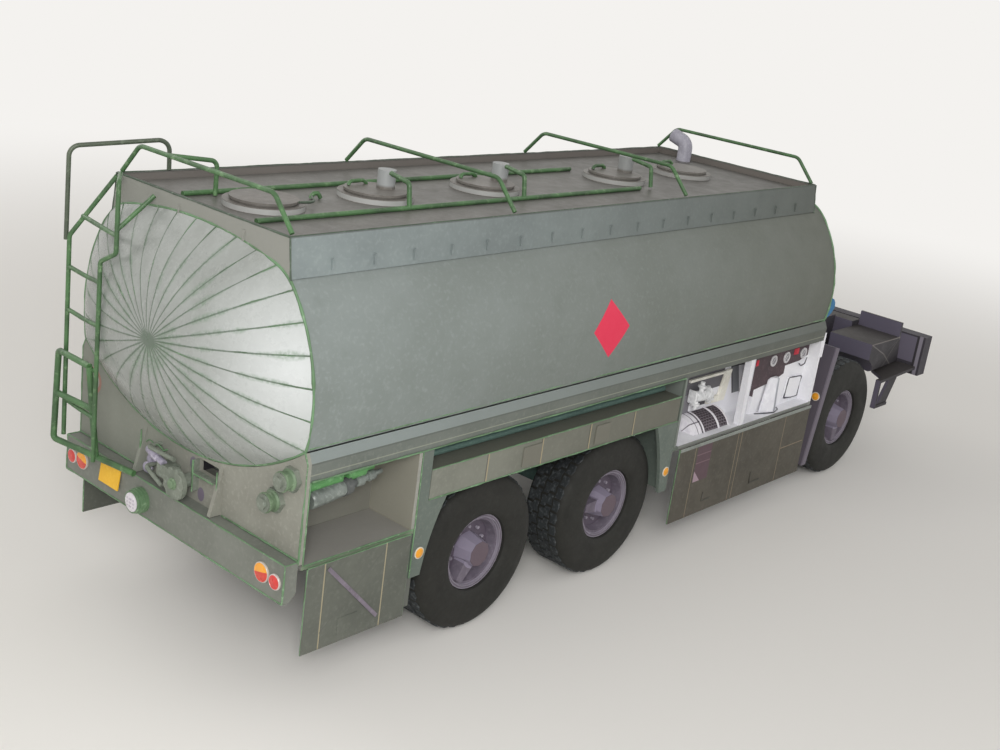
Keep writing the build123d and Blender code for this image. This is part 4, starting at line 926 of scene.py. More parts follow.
head_print = card("silver_grey_head_card", "#9da19e", "#8f938f", "#a6aaa8", patch_mm=14.0, gloss=0.28,
                  wave=0.4, marks=seam_marks)
gored_head("gored_rear_head", "rear_head", 0, -10.38, 0.05, 0.05, 3.0, head_print)
gored_head("gored_front_head", "front_head", TANK_LENGTH, 6.98, 0.04, 0.03, 8.0, front_head_print)


# %% [markdown]
# ## Brushed lines
# Where two sheets meet, the builder ran a brush of green paint along the joint. Such a line swells and
# thins and sometimes breaks. Geometry Nodes follow a path made of edges: resample it, give each point a
# radius from a noise, move it a little sideways by another, and sweep a small ring along it.

# %% Brush line tree
SWELL_MM, DRIFT_MM, BRUSH_SIDES = 4.0, 6.0, 5
tree, given = new_tree("brush_line", {
    "Width": "Float", "Thin Share": "Float", "Step": "Float", "Wander": "Float", "Seed": "Float",
    "Sides": "Int", "Finish": "Material"})
path = node(tree, "GeometryNodeMeshToCurve", {0: given["Geometry"]}).outputs[0]
path = node(tree, "GeometryNodeResampleCurve", {"Curve": path, "Length": given["Step"]},
            mode="LENGTH").outputs[0]
here = node(tree, "GeometryNodeInputPosition").outputs[0]
swell = node(tree, "ShaderNodeTexNoise", {"Vector": here, "W": given["Seed"], "Scale": 1 / (SWELL_MM * MM),
                                          "Detail": 3.0}, noise_dimensions="4D").outputs[0]
swell = node(tree, "ShaderNodeMapRange", {0: swell, 1: 0.3, 2: 0.7, 3: given["Thin Share"],
                                          4: 1.0}).outputs[0]
drift = node(tree, "ShaderNodeTexNoise", {"Vector": here, "W": given["Seed"], "Scale": 1 / (DRIFT_MM * MM)},
             noise_dimensions="4D").outputs[1]
drift = node(tree, "ShaderNodeVectorMath", {0: drift, 1: (0.5, 0.5, 0.5)}, operation="SUBTRACT").outputs[0]
drift = node(tree, "ShaderNodeVectorMath", {0: drift, "Scale": given["Wander"]}, operation="SCALE").outputs[0]
path = node(tree, "GeometryNodeSetPosition", {"Geometry": path, "Offset": drift}).outputs[0]
half_width = node(tree, "ShaderNodeMath", {0: given["Width"], 1: 0.5}, operation="MULTIPLY").outputs[0]
ring_line = node(tree, "GeometryNodeCurvePrimitiveCircle", {"Resolution": given["Sides"],
                                                            "Radius": half_width}).outputs[0]
brushed = node(tree, "GeometryNodeCurveToMesh", {"Curve": path, "Profile Curve": ring_line, "Scale": swell,
                                                 "Fill Caps": True}).outputs[0]
brush_tree = end_tree(tree, brushed, given["Finish"])


def brush_lines(name, lines, width_mm, body, finish, thin=0.35, wander_mm=0.15, seed=1.0, step_mm=1.2):
    """Painted lines along polylines of points in the frame, as one piece."""
    points, edges = [], []
    for line in lines:
        first = len(points)
        points.extend(line)
        edges.extend((first + i, first + i + 1) for i in range(len(line) - 1))
    mesh = run_tree(brush_tree, point_mesh(name + "_path", points, edges), {
        "Width": width_mm * MM, "Thin Share": thin, "Step": step_mm * MM, "Wander": wander_mm * MM,
        "Seed": seed, "Sides": BRUSH_SIDES, "Finish": finish})
    print(name, len(lines), "lines", len(mesh.polygons), "faces")
    add_piece(name, mesh, body, finish, sharp_degrees=80.0)


# %% [markdown]
# The seams of the rear head fan out from its middle, one at each gore's edge. Every seam follows the same
# rule as the head: its height over the rim is one minus a power of its share of the way out.

# %% Seams of the heads
def seam(rim_station, depth_mm, rim_point, first_share=0.03, steps=16):
    """The line from a head's middle to one rim point."""
    line = []
    for i in range(steps + 1):
        share = first_share + (1 - first_share) * i / steps
        line.append(spot(rim_station + depth_mm * (1 - share ** HEAD_ROUNDNESS), rim_point.x * share,
                         HEAD_CENTRE_Z + (rim_point.y - HEAD_CENTRE_Z) * share))
    return line


rear_seams = [seam(0, -9.95, p) for p in rim_loop[::STEPS_PER_GORE]]
seam_paint = enamel("thin_green_seam_enamel", "#5f7a5e", "#4d5f4c", "#8fa88d", gloss=0.5)
brush_lines("rear_head_seams", rear_seams, 0.5, "body", seam_paint, thin=0.1, wander_mm=0.4,
            seed=2.0)


def rim_line(station):
    """The tank's outline at a station, as a closed loop."""
    loop = [spot(station, p.x, p.y) for p in rim_loop]
    return loop + loop[:1]


brush_lines("tank_rim_paint", [rim_line(0.1), rim_line(TANK_LENGTH)], 0.9, "body", edge_paint,
            thin=0.4, wander_mm=0.3, seed=5.0)


# %% [markdown]
# Cut edges of the boxes get the same paint. They are listed by station, Y and height, once for the right
# side, and mirrored where the left side has them too.

# %% Edge paint on the bodywork
SIDE_EDGES = (((0, 29.9, 88.9), (200.6, 29.9, 88.9)), ((1, 38.2, 58.8), (206, 38.2, 58.8)),
              ((0, 39.0, 34.6), (0, 39.2, 56.0)), ((0, 39.2, 56.0), (0, 38.0, 58.6)),
              ((1.4, 39.0, 33.9), (31.8, 39.0, 33.9)), ((32.3, 39.1, 22.2), (32.3, 39.1, 52.0)),
              ((1.2, 39.0, 34.2), (1.2, 39.1, 52.0)), ((1.5, 39.2, 52.1), (130.5, 39.2, 52.1)),
              ((35.8, 39.05, 40.0), (130.2, 39.05, 40.0)), ((35.8, 39.05, 47.0), (130.2, 39.05, 47.0)),
              ((-3.3, 39.0, 27.0), (-3.3, 39.0, 35.2)), ((-3.2, 39.0, 35.2), (0, 39.0, 35.2)))
DARK_SIDE_EDGES = (((0, 29.85, 89.0), (0, 28.6, 98.2)), ((200.6, 29.85, 89.0), (200.6, 28.6, 98.2)),
                   ((0, 28.3, 98.2), (200.6, 28.3, 98.2)))
CROSS_EDGES = (((-3.3, -39, 35.2), (-3.3, 39, 35.2)), ((-3.3, -39, 26.8), (-3.3, 39, 26.8)))
DARK_CROSS_EDGES = (((0.1, -28.4, 98.2), (0.1, 28.4, 98.2)), ((200.5, -28.4, 98.2), (200.5, 28.4, 98.2)))


def both_sides(side_lines, cross_lines):
    """Points for lines that repeat on each side and for lines across the truck."""
    lines = [[spot(s, side * y, z) for s, y, z in line] for line in side_lines for side in (-1, 1)]
    return lines + [[spot(*p) for p in line] for line in cross_lines]


brush_lines("bodywork_edge_paint", both_sides(SIDE_EDGES, CROSS_EDGES), 0.55, "body",
            edge_paint, thin=0.25, wander_mm=0.2, seed=9.0)
brush_lines("box_edge_paint", both_sides(DARK_SIDE_EDGES, DARK_CROSS_EDGES), 0.6, "body",
            dark_edge_paint, thin=0.4, wander_mm=0.1, seed=10.0)


# %% [markdown]
# ## Tyres
# The tyres are layers of card turned round and painted matt black, with a band of tread blocks glued on.
# The carcass is a closed profile spun about the axle. The tread has five rows of blocks with zigzag sides,
# and Geometry Nodes repeat one pitch of it around the wheel, which keeps 36 pitches equal and light.

# %% Tyre finish
def tyre_paint(name, coat, shade, dust):
    """Matt black paint on card: dusty, dry and nearly without gloss."""
    return card(name, coat, shade, dust, patch_mm=9.0, gloss=0.74, wave=0.15)


sidewall_paint = tyre_paint("matt_black_tyre_card", "#20201c", "#1a1a17", "#2a2a26")
tread_paint = tyre_paint("grey_black_tread_card", "#2b2f31", "#202325", "#6a7072")
print("tyre finishes:", sidewall_paint.name, tread_paint.name)

# %% [markdown]
# The carcass is listed as pairs of a distance from the truck's middle and a radius, from the outer bead
# over the tread to the inner bead. The last pair joins the first one, so the spun form is closed.

# %% Tyre carcass
AXLE_Z = 19.6
TYRE_R = 19.6
TREAD_BASE_R = 19.1
TYRE_FACE_Y = 36.5
AXLES = {"rear": 58.4, "mid": 108.4, "front": 236.7}
CARCASS = ((34.9, 9.5), (35.7, 9.6), (36.2, 10.2), (36.5, 11.3), (36.5, 13.0), (36.45, 15.0), (36.3, 16.6),
           (35.95, 17.8), (35.4, 18.7), (34.5, 19.2), (33.3, 19.35), (29.75, 19.2), (26.2, 19.35),
           (25.0, 19.2), (24.1, 18.7), (23.55, 17.8), (23.2, 16.6), (23.05, 15.0), (23.0, 13.0),
           (23.0, 11.3), (23.3, 10.2), (23.8, 9.6), (24.4, 9.5))
print("carcass profile points:", len(CARCASS))

# %% [markdown]
# The tread tree is given one pitch of blocks. It makes a point for each pitch, all at the axle, and puts a
# copy on each of them, turned one step further round.

# %% Tread tree
tree, given = new_tree("tread_ring", {"Pitches": "Int", "Axle": "Vector", "Finish": "Material"})
pitch_points = node(tree, "GeometryNodeMeshLine", {"Count": given["Pitches"], "Offset": (0, 0, 0)}).outputs[0]
number = node(tree, "GeometryNodeInputIndex").outputs[0]
turn = node(tree, "ShaderNodeMath", {0: number, 1: 2 * math.pi}, operation="MULTIPLY").outputs[0]
turn = node(tree, "ShaderNodeMath", {0: turn, 1: given["Pitches"]}, operation="DIVIDE").outputs[0]
turn = node(tree, "ShaderNodeCombineXYZ", {1: turn}).outputs[0]
spread = node(tree, "GeometryNodeInstanceOnPoints", {"Points": pitch_points, "Instance": given["Geometry"],
                                                     "Rotation": turn}).outputs[0]
real_ring = node(tree, "GeometryNodeRealizeInstances", {0: spread}).outputs[0]
moved = node(tree, "GeometryNodeTransform", {"Geometry": real_ring, "Translation": given["Axle"]}).outputs[0]
tread_tree = end_tree(tree, moved, given["Finish"])
print("tread tree nodes:", len(tread_tree.nodes))

# %% [markdown]
# One pitch has five blocks, one for each row. A block's outline shifts sideways at its middle, which gives
# the zigzag, and three stacked levels make its upper edges a little round.

# %% One pitch of tread
PITCHES = 36
BLOCK_HALF_LENGTH = 1.42
BLOCK_TOP_R = 19.5
# rows of blocks, columns: middle from the tyre's outer face, half width, zigzag, shift along the wheel
TREAD_ROWS = ((3.1, 1.0, 0.35, 0.0), (5.1, 0.85, -0.35, 1.1), (7.0, 0.8, 0.35, 0.2), (8.9, 0.85, -0.35, 1.3),
              (10.9, 1.0, 0.35, 0.4))
# levels of a block, columns: radius, share of its full size
BLOCK_LEVELS = ((TREAD_BASE_R - 0.3, 1.0), (BLOCK_TOP_R - 0.12, 0.97), (BLOCK_TOP_R, 0.86))


def tread_pitch(side):
    """The blocks of one pitch, standing on top of the wheel, with the axle at the origin."""
    shape = bmesh.new()
    for from_face, half, zigzag, shift in TREAD_ROWS:
        y = side * (TYRE_FACE_Y - from_face)
        outline = ((-half, -1), (half, -1), (half + zigzag, 0), (half, 1), (-half, 1), (-half + zigzag, 0))
        levels = []
        for radius, shrink in BLOCK_LEVELS:
            level = []
            for across, along in outline:
                angle = (shift + along * BLOCK_HALF_LENGTH * shrink) / TYRE_R
                level.append(shape.verts.new(Vector((math.sin(angle) * radius, y + side * across * shrink,
                                                     math.cos(angle) * radius)) * MM))
            levels.append(level)
        stack(shape, levels, (levels[-1], levels[0][::-1]))
    bmesh.ops.recalc_face_normals(shape, faces=shape.faces)
    return plain_mesh("tread_pitch", shape)


print("pitches on a tyre:", PITCHES, "with", len(TREAD_ROWS), "blocks each")

# %% [markdown]
# One loop makes the six tyres. A carcass stands for its CAD tyre, and the carcass and its tread ride on the
# wheel's body, so both roll with it.

# %% Six tyres
WHEELS = [(place, hand, station, side) for place, station in AXLES.items()
          for hand, side in (("right", -1), ("left", 1))]
for place, hand, station, side in WHEELS:
    carcass = add_piece(f"carcass_{place}_{hand}",
                        turned("carcass", CARCASS, spot(station, 0, AXLE_Z), (0, side, 0)),
                        f"wheel_{place}_{hand}", sidewall_paint)
    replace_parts(carcass, f"tyre_{place}_{hand}")
    tread = run_tree(tread_tree, tread_pitch(side), {"Pitches": PITCHES, "Axle": spot(station, 0, AXLE_Z),
                                                     "Finish": tread_paint})
    add_piece(f"tread_{place}_{hand}", tread, f"wheel_{place}_{hand}", tread_paint,
              sharp_degrees=20.0)
print("tyres made, tread faces on each:", len(tread.polygons))


# %% [markdown]
# ## Rims
# The rims are stacked card rings around a dished disc, with a faceted hub cap and a wedge from hub to ring.
# The CAD shape is right, so the rings, the dish and the cap are told apart by colour alone: a stencil reads
# the distance from the axle, worked out from station and height, and the depth inside the wheel.

# %% Rim finish
def rim_card(name, station):
    """Lilac grey card rings, told apart by their radius and depth, with painted highlights on the two outer
    lips.
    """
    def rings(tree, place, colour):
        ahead, depth, above = axes_of(tree, place)
        radius = gap_from(tree, ahead, station, above, AXLE_Z)
        return stencils(tree, colour, (
            ([(radius, 0, 7.25), (depth, 30, 32.2)], "#574e5b", 0.8),
            # the pale rings on the two lips are painted highlights
            ([(radius, 8.4, 8.75), (depth, 33, 36)], "#9d97a3", 0.6),
            ([(radius, 9.15, 9.5), (depth, 33, 36)], "#9d97a3", 0.6),
            ([(radius, 2.9, 4.15), (depth, 31.9, 36.5)], "#8f889b", 0.75),
            ([(radius, 0, 3.3), (depth, 36.5, 36.8)], "#5d4f57", 0.9)))
    return card(name, "#6c6571", "#59525e", "#837c88", patch_mm=3.0, wave=0.15, marks=rings)


bolt_paint = card("light_bolt_card", "#98929e", "#756f7b", "#b6b0bc", patch_mm=2.0, wave=0.1)
for place, station in AXLES.items():
    finish = rim_card(f"lilac_rim_card_{place}", station)
    for hand in ("right", "left"):
        dress(f"rim_{place}_{hand}", finish)
print("rims dressed:", 2 * len(AXLES))

# %% [markdown]
# A ring of small round bolts stands on each dish. One bolt has only six sides, because it is repeated sixty
# times and is under a millimetre across.

# %% Bolt ring tree
tree, given = new_tree("bolt_ring", {"Bolts": "Int", "Ring": "Float", "Radius": "Float", "Height": "Float",
                                     "Hub": "Vector", "Start": "Float", "Finish": "Material"})
number = node(tree, "GeometryNodeInputIndex").outputs[0]
bolt_points = node(tree, "GeometryNodeMeshLine", {"Count": given["Bolts"], "Offset": (0, 0, 0)}).outputs[0]
turn = node(tree, "ShaderNodeMath", {0: number, 1: 2 * math.pi}, operation="MULTIPLY").outputs[0]
turn = node(tree, "ShaderNodeMath", {0: turn, 1: given["Bolts"]}, operation="DIVIDE").outputs[0]
turn = node(tree, "ShaderNodeMath", {0: turn, 1: given["Start"]}, operation="ADD").outputs[0]
ahead = node(tree, "ShaderNodeMath", {0: turn}, operation="COSINE").outputs[0]
above = node(tree, "ShaderNodeMath", {0: turn}, operation="SINE").outputs[0]
bolt_place = node(tree, "ShaderNodeCombineXYZ", {0: ahead, 2: above}).outputs[0]
bolt_place = node(tree, "ShaderNodeVectorMath", {0: bolt_place, "Scale": given["Ring"]},
                  operation="SCALE").outputs[0]
bolt_points = node(tree, "GeometryNodeSetPosition", {"Geometry": bolt_points,
                                                     "Position": bolt_place}).outputs[0]
bolt = node(tree, "GeometryNodeMeshCylinder", {"Vertices": 6, "Radius": given["Radius"],
                                               "Depth": given["Height"]}).outputs[0]
bolts = node(tree, "GeometryNodeInstanceOnPoints", {"Points": bolt_points, "Instance": bolt,
                                                    "Rotation": (math.pi / 2, 0, 0)}).outputs[0]
bolts = node(tree, "GeometryNodeRealizeInstances", {0: bolts}).outputs[0]
bolts = node(tree, "GeometryNodeTransform", {"Geometry": bolts, "Translation": given["Hub"]}).outputs[0]
bolt_tree = end_tree(tree, bolts, given["Finish"])

BOLTS, BOLT_RING, BOLT_R, BOLT_HEIGHT, BOLT_START, DISH_Y = 10, 5.35, 0.42, 0.9, 0.3, 31.8
for place, hand, station, side in WHEELS:
    mesh = run_tree(bolt_tree, point_mesh("hub_point", [(0, 0, 0)]), {
        "Bolts": BOLTS, "Ring": BOLT_RING * MM, "Radius": BOLT_R * MM, "Height": BOLT_HEIGHT * MM,
        "Hub": spot(station, side * (DISH_Y + 0.3), AXLE_Z), "Start": BOLT_START, "Finish": bolt_paint})
    add_piece(f"rim_bolts_{place}_{hand}", mesh, f"wheel_{place}_{hand}", bolt_paint)
print("bolt faces on each rim:", len(mesh.polygons))


# %% [markdown]
# ## Lamps
# On the real model the lamps are punched discs of printed card with a drop of varnish. A lens that is
# turned from a profile catches light round its domed edge, which a flat disc can't do. The combination lamp
# is one lens whose upper part is amber and lower part red, so its finish splits the colour by height.

# %% Lamp finishes
def lamp_paint(name, lens, shade, light, rim, lens_r, middle_y, middle_z, upper=None):
    """Glossy varnish over printed card: a coloured lens inside a pale cut rim."""
    def lens_marks(tree, place, colour):
        _, out, height = axes_of(tree, place)
        radius = gap_from(tree, out, middle_y, height, middle_z)
        if upper:
            split = weigh(tree, out, -0.25, height, 0.25 * middle_y - middle_z)
            colour = stencil(tree, colour, [(split, 0.1, 9)], upper, 0.95)
        return stencil(tree, colour, [(radius, lens_r, 9)], rim, 0.95)
    finish = card(name, lens, shade, light, patch_mm=2.5, gloss=0.28, wave=0.1, marks=lens_marks)
    finish.node_tree.nodes["Principled BSDF"].inputs["Coat Weight"].default_value = 0.5
    return finish


COMBI_Y, COMBI_Z, REFLECTOR_Y, REFLECTOR_Z = 32.4, 31.2, 36.5, 30.8
COMBI_LENS_R, REFLECTOR_LENS_R = 1.98, 1.48
combi_paint = lamp_paint("combination_lamp_varnish", "#d93f2c", "#c13426", "#e9604a", "#b9b4ac", COMBI_LENS_R,
                         COMBI_Y, COMBI_Z, "#f0a62e")
reflector_paint = lamp_paint("red_reflector_varnish", "#d83a35", "#c02f2c", "#e86055", "#c9c2be",
                             REFLECTOR_LENS_R, REFLECTOR_Y, REFLECTOR_Z)
print("a combination lamp's lens is", 2 * COMBI_LENS_R, "mm across")

# %% [markdown]
# Both lenses are turned on the bumper's face. The two sides are joined into one piece, which stands for the
# CAD node of the rear lamps.

# %% Rear lamps
BUMPER_FACE = -3.3
LENS_STEPS = 40
COMBI_LENS = ((0, 0), (0, 2.2), (0.3, 2.2), (0.42, 2.1), (0.42, 1.85), (0.34, 1.78), (0.46, 1.3), (0.5, 0))
REFLECTOR_LENS = ((0, 0), (0, 1.7), (0.3, 1.7), (0.42, 1.6), (0.42, 1.4), (0.34, 1.34), (0.46, 0.9), (0.5, 0))
LENSES = (("combi_lamps", COMBI_LENS, COMBI_Y, COMBI_Z, combi_paint),
          ("reflectors", REFLECTOR_LENS, REFLECTOR_Y, REFLECTOR_Z, reflector_paint))
for label, lens, y, z, finish in LENSES:
    discs = [turned(label, lens, spot(BUMPER_FACE, side * y, z), (-1, 0, 0), LENS_STEPS) for side in (-1, 1)]
    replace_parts(add_piece(label, joined_mesh(label, discs), "body", finish), "rear_lamps")
print("pairs of lenses:", len(LENSES))

# %% [markdown]
# The round lamp sits in a hood of stacked green rings. Its white glass carries a printed grey pattern of
# bars.

# %% Round lamp in its hood
TOW_Y, TOW_Z = 9.0, 30.6
HOOD = ((0, 0), (0, 2.85), (0.5, 2.9), (0.62, 2.7), (0.75, 2.88), (1.25, 2.88), (1.38, 2.66), (1.5, 2.8),
        (2.0, 2.76), (2.12, 2.5), (2.3, 2.62), (2.75, 2.5), (2.8, 2.25), (2.3, 2.2), (2.3, 0))
GLASS = ((2.3, 0), (2.3, 2.15), (2.85, 2.15), (2.95, 1.9), (3.0, 0))


def glass_marks(tree, place, colour):
    """Short grey violet bars across the middle of the glass."""
    parts = node(tree, "ShaderNodeSeparateXYZ", {0: place}).outputs
    bars = node(tree, "ShaderNodeMath", {0: parts[1], 1: 0.7}, operation="PINGPONG").outputs[0]
    for low, high in ((-1.2, -0.75), (-0.35, 0.1), (0.5, 0.95)):
        colour = stencil(tree, colour, [(parts[2], TOW_Z + low, TOW_Z + high), (bars, 0.2, 0.7),
                                        (parts[1], TOW_Y - 1.3, TOW_Y + 1.3)], "#9c93a4", 0.6)
    return colour


hood_paint = enamel("ringed_hood_enamel", "#63805f", "#4e6a4b", "#9bb595", gloss=0.45)
glass_paint = card("white_lamp_varnish", "#dcd8dd", "#c9c4cc", "#eeecf0", patch_mm=2.0, gloss=0.25, wave=0.1,
                   marks=glass_marks)
for label, profile, finish in (("tow_lamp_hood", HOOD, hood_paint), ("tow_lamp_glass", GLASS, glass_paint)):
    lamp_mesh = turned(label, profile, spot(BUMPER_FACE, TOW_Y, TOW_Z), (-1, 0, 0), 56)
    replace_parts(add_piece(label, lamp_mesh, "body", finish), "rear_lamps")
print("rear lamps: two pairs and one round lamp")

# %% [markdown]
# Small amber marker lamps sit on the corner plates and on the front flaps. Each is a dome on a slightly
# larger pale disc, of which the photograph shows a crescent.

# %% Marker lamps
amber_paint = card("amber_marker_varnish", "#eda22c", "#d68c1f", "#f8c05a", patch_mm=1.5, gloss=0.3, wave=0.1)
pale_disc_paint = card("pale_marker_disc_card", "#cfcabc", "#b5b0a2", "#e2ddd0", patch_mm=1.5)
MARKER_DOME = ((0, 0), (0, 1.15), (0.18, 1.15), (0.34, 0.8), (0.4, 0))
MARKER_DISC = ((-0.02, 0), (-0.02, 1.4), (0.12, 1.4), (0.16, 1.3), (0.16, 0))
SIDE_MARKERS = ((34.7, 27.6), (129.1, 25.6))
FLAP_MARKER = (212.7, 37.2, 31.9)
for label, profile, finish in (("marker_domes", MARKER_DOME, amber_paint),
                               ("marker_discs", MARKER_DISC, pale_disc_paint)):
    discs = []
    for side in (-1, 1):
        discs += [turned(label, profile, spot(s, side * 39.0, z), (0, side, 0), 28) for s, z in SIDE_MARKERS]
        discs.append(turned(label, profile, spot(FLAP_MARKER[0], side * FLAP_MARKER[1], FLAP_MARKER[2]),
                            (-1, 0, 0.17), 28))
    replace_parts(add_piece(label, joined_mesh(label, discs), "body", finish), "marker_lamps")
print("marker lamps:", len(discs))


# %% [markdown]
# ## Drop-down doors
# The four doors are flat boards of card that hang from their top edges. Each one becomes a thinner board
# with softened edges, so that what is glued on it stays inside the CAD door's thickness: a violet stick
# across the locker doors, a small blank plate, a lip and two angle brackets on the pump doors. Everything
# on a door rides on that door's own body and swings with it.

# %% Doors
DOOR_IN, DOOR_PAINT_Y, BOARD_OUT = 39.62, 39.84, 40.06
stick_paint = card("violet_stick_card", "#7d7480", "#68606b", "#968d99", patch_mm=3.0)
lip_paint = card("grey_green_lip_card", "#8c918c", "#777c77", "#a2a7a2", patch_mm=6.0)
bracket_paint = card("dark_bracket_card", "#45443e", "#37362f", "#6b6a60", patch_mm=2.0)


def rectangle(first, last, y, bottom, top):
    """The four corners of an upright card in the truck's long direction."""
    return ((first, y, bottom), (last, y, bottom), (last, y, top), (first, y, top))


def stick(start, end, y, half_mm):
    """The four corners of a narrow upright card from one station and height to another."""
    run = Vector((end[0] - start[0], end[1] - start[1])).normalized()
    aside = Vector((-run.y, run.x)) * half_mm
    return tuple((s + sign * aside.x, y, z + sign * aside.y)
                 for (s, z), sign in ((start, -1), (end, -1), (end, 1), (start, 1)))


def door_piece(label, body, sheets, finish, side, replaced=None):
    """Cards on one door, each an outline and a thickness that goes away from the truck's middle."""
    mesh = cut_card(label, [(outline, (0, side * thick, 0)) for outline, thick in sheets])
    piece = add_piece(label, mesh, body, finish)
    if replaced:
        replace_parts(piece, replaced)


for hand, side in (("right", -1), ("left", 1)):
    inner, outer = side * DOOR_IN, side * BOARD_OUT
    body = f"locker_door_{hand}"
    board = (rectangle(1.8, 30.6, inner, 13.9, 33.5), BOARD_OUT - DOOR_IN)
    door_piece(f"locker_board_{hand}", body, [board], locker_door_print, side, body)
    door_piece(f"locker_stick_{hand}", body, [(stick((7.3, 32.2), (22.3, 16.8), outer, 0.45), 0.28)],
               stick_paint, side)
    door_piece(f"locker_plate_{hand}", body, [(rectangle(11.2, 16.6, outer, 15.6, 19.6), 0.14)],
               locker_door_print, side)
    body = f"pump_door_{hand}"
    board = (rectangle(133.2, 204.8, inner, 9.1, 31.4), BOARD_OUT - DOOR_IN)
    door_piece(f"pump_board_{hand}", body, [board], pump_door_print, side, body)
    door_piece(f"pump_lip_{hand}", body, [(rectangle(133.2, 204.8, outer, 30.5, 31.5), 0.26)], lip_paint,
               side)
    brackets = [(stick(a, b, outer, 0.22), 0.2) for a, b in
                (((149.1, 15.2), (149.1, 12.4)), ((148.9, 12.5), (153.8, 12.5)),
                 ((174.9, 15.6), (174.9, 12.0)), ((174.7, 12.1), (181.0, 12.1)))]
    door_piece(f"pump_brackets_{hand}", body, brackets, bracket_paint, side)
    for door, first, last, bottom, top in ((f"locker_door_{hand}", 1.9, 30.5, 14.0, 33.4),
                                           (f"pump_door_{hand}", 133.3, 204.7, 9.2, 31.3)):
        y = side * DOOR_PAINT_Y
        low_rear, low_front = spot(first, y, bottom), spot(last, y, bottom)
        high_rear, high_front = spot(first, y, top), spot(last, y, top)
        green_edges = [[high_rear, low_rear], [low_front, high_front]]
        if door.startswith("locker"):
            green_edges.append([high_front, high_rear])
        brush_lines(f"{door}_edge_paint", green_edges, 0.55, door, edge_paint, thin=0.45,
                    wander_mm=0.06, seed=4.0)
        brush_lines(f"{door}_foot_paint", [[low_rear, low_front]], 0.42, door, dark_edge_paint,
                    thin=0.4, wander_mm=0.06, seed=6.0)
print("doors dressed on both sides")


# %% [markdown]
# ## Tools in the rear lockers
# A bright green rod hangs under the locker roof, and a grey tube with a violet cap and a narrow fitting
# leans in front of it. Both are turned from profiles along a slanting line.

# %% Locker tools
grey_tube_paint = card("pale_grey_tube_card", "#7b827d", "#5f6661", "#a6ada8", patch_mm=3.0, gloss=0.4)
cap_paint = card("violet_grey_cap_card", "#5b5e5d", "#484b4a", "#767978", patch_mm=2.0)
ROD = ((0, 0), (0, 1.5), (0.3, 1.8), (9.5, 1.9), (9.8, 1.0), (11.0, 1.05), (11.2, 1.8), (16.5, 1.7),
       (16.8, 1.0), (19.5, 0.9), (19.5, 0))
TUBE = ((0, 0), (0, 1.5), (0.3, 1.8), (3.0, 1.85), (3.1, 1.75), (3.3, 1.85), (6.0, 1.85), (6.1, 1.75),
        (6.3, 1.85), (9.4, 1.8), (9.4, 0))
CAP = ((9.4, 0), (9.4, 1.95), (11.6, 1.95), (12.0, 1.5), (12.2, 1.0), (13.6, 0.95), (13.6, 0))
FITTING = ((13.6, 0), (13.6, 1.2), (15.6, 1.35), (15.8, 0.9), (17.6, 0.85), (17.8, 1.15), (19.4, 1.1),
           (19.6, 0.6), (22.0, 0.5), (22.0, 0))
for hand, side in (("right", -1), ("left", 1)):
    rod = spot(3.2, side * 34.6, 49.0), spot(25, side * 33.6, 49.2)
    tube = spot(3.6, side * 36.4, 46.5), spot(27.5, side * 33.6, 47.3)
    for label, profile, (start, end), finish in (("green_rod", ROD, rod, bright_rod_paint),
                                                 ("grey_tube", TUBE, tube, grey_tube_paint),
                                                 ("tube_cap", CAP, tube, cap_paint),
                                                 ("tube_fitting", FITTING, tube, grey_tube_paint)):
        mesh = turned(label, profile, start, end - start, 32)
        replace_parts(add_piece(f"{label}_{hand}", mesh, "body", finish), "locker_tools")
print("locker tools on both sides")


# %% [markdown]
# ## The pump bay
# The right bay is the brightest part of the model: white card inside with a printed pump, a mesh drum and
# an instrument panel. The drum is a half barrel that rises from the floor against the deep wall. Its
# section is an arc that stops at the floor, drawn at a row of stations with a radius for each, which gives
# the bands.

# %% Drum
DEEP_Y, FLOOR_Z, DRUM_Z, DRUM_R = -30.5, 32.0, 29.5, 6.5
CLEAR_MM = 0.05
WALL_Y = DEEP_Y - CLEAR_MM
# stations along the drum and the radius there
DRUM_SECTIONS = ((144.2, 5.9), (144.6, 6.5), (148.6, 6.6), (148.7, 6.95), (149.5, 6.95), (149.6, 6.55),
                 (156.4, 6.55), (156.5, 6.9), (157.2, 6.9), (157.3, 6.55), (161.6, 6.5), (161.7, 6.75),
                 (162.3, 6.7), (162.4, 5.4))
ARC_STEPS = 20


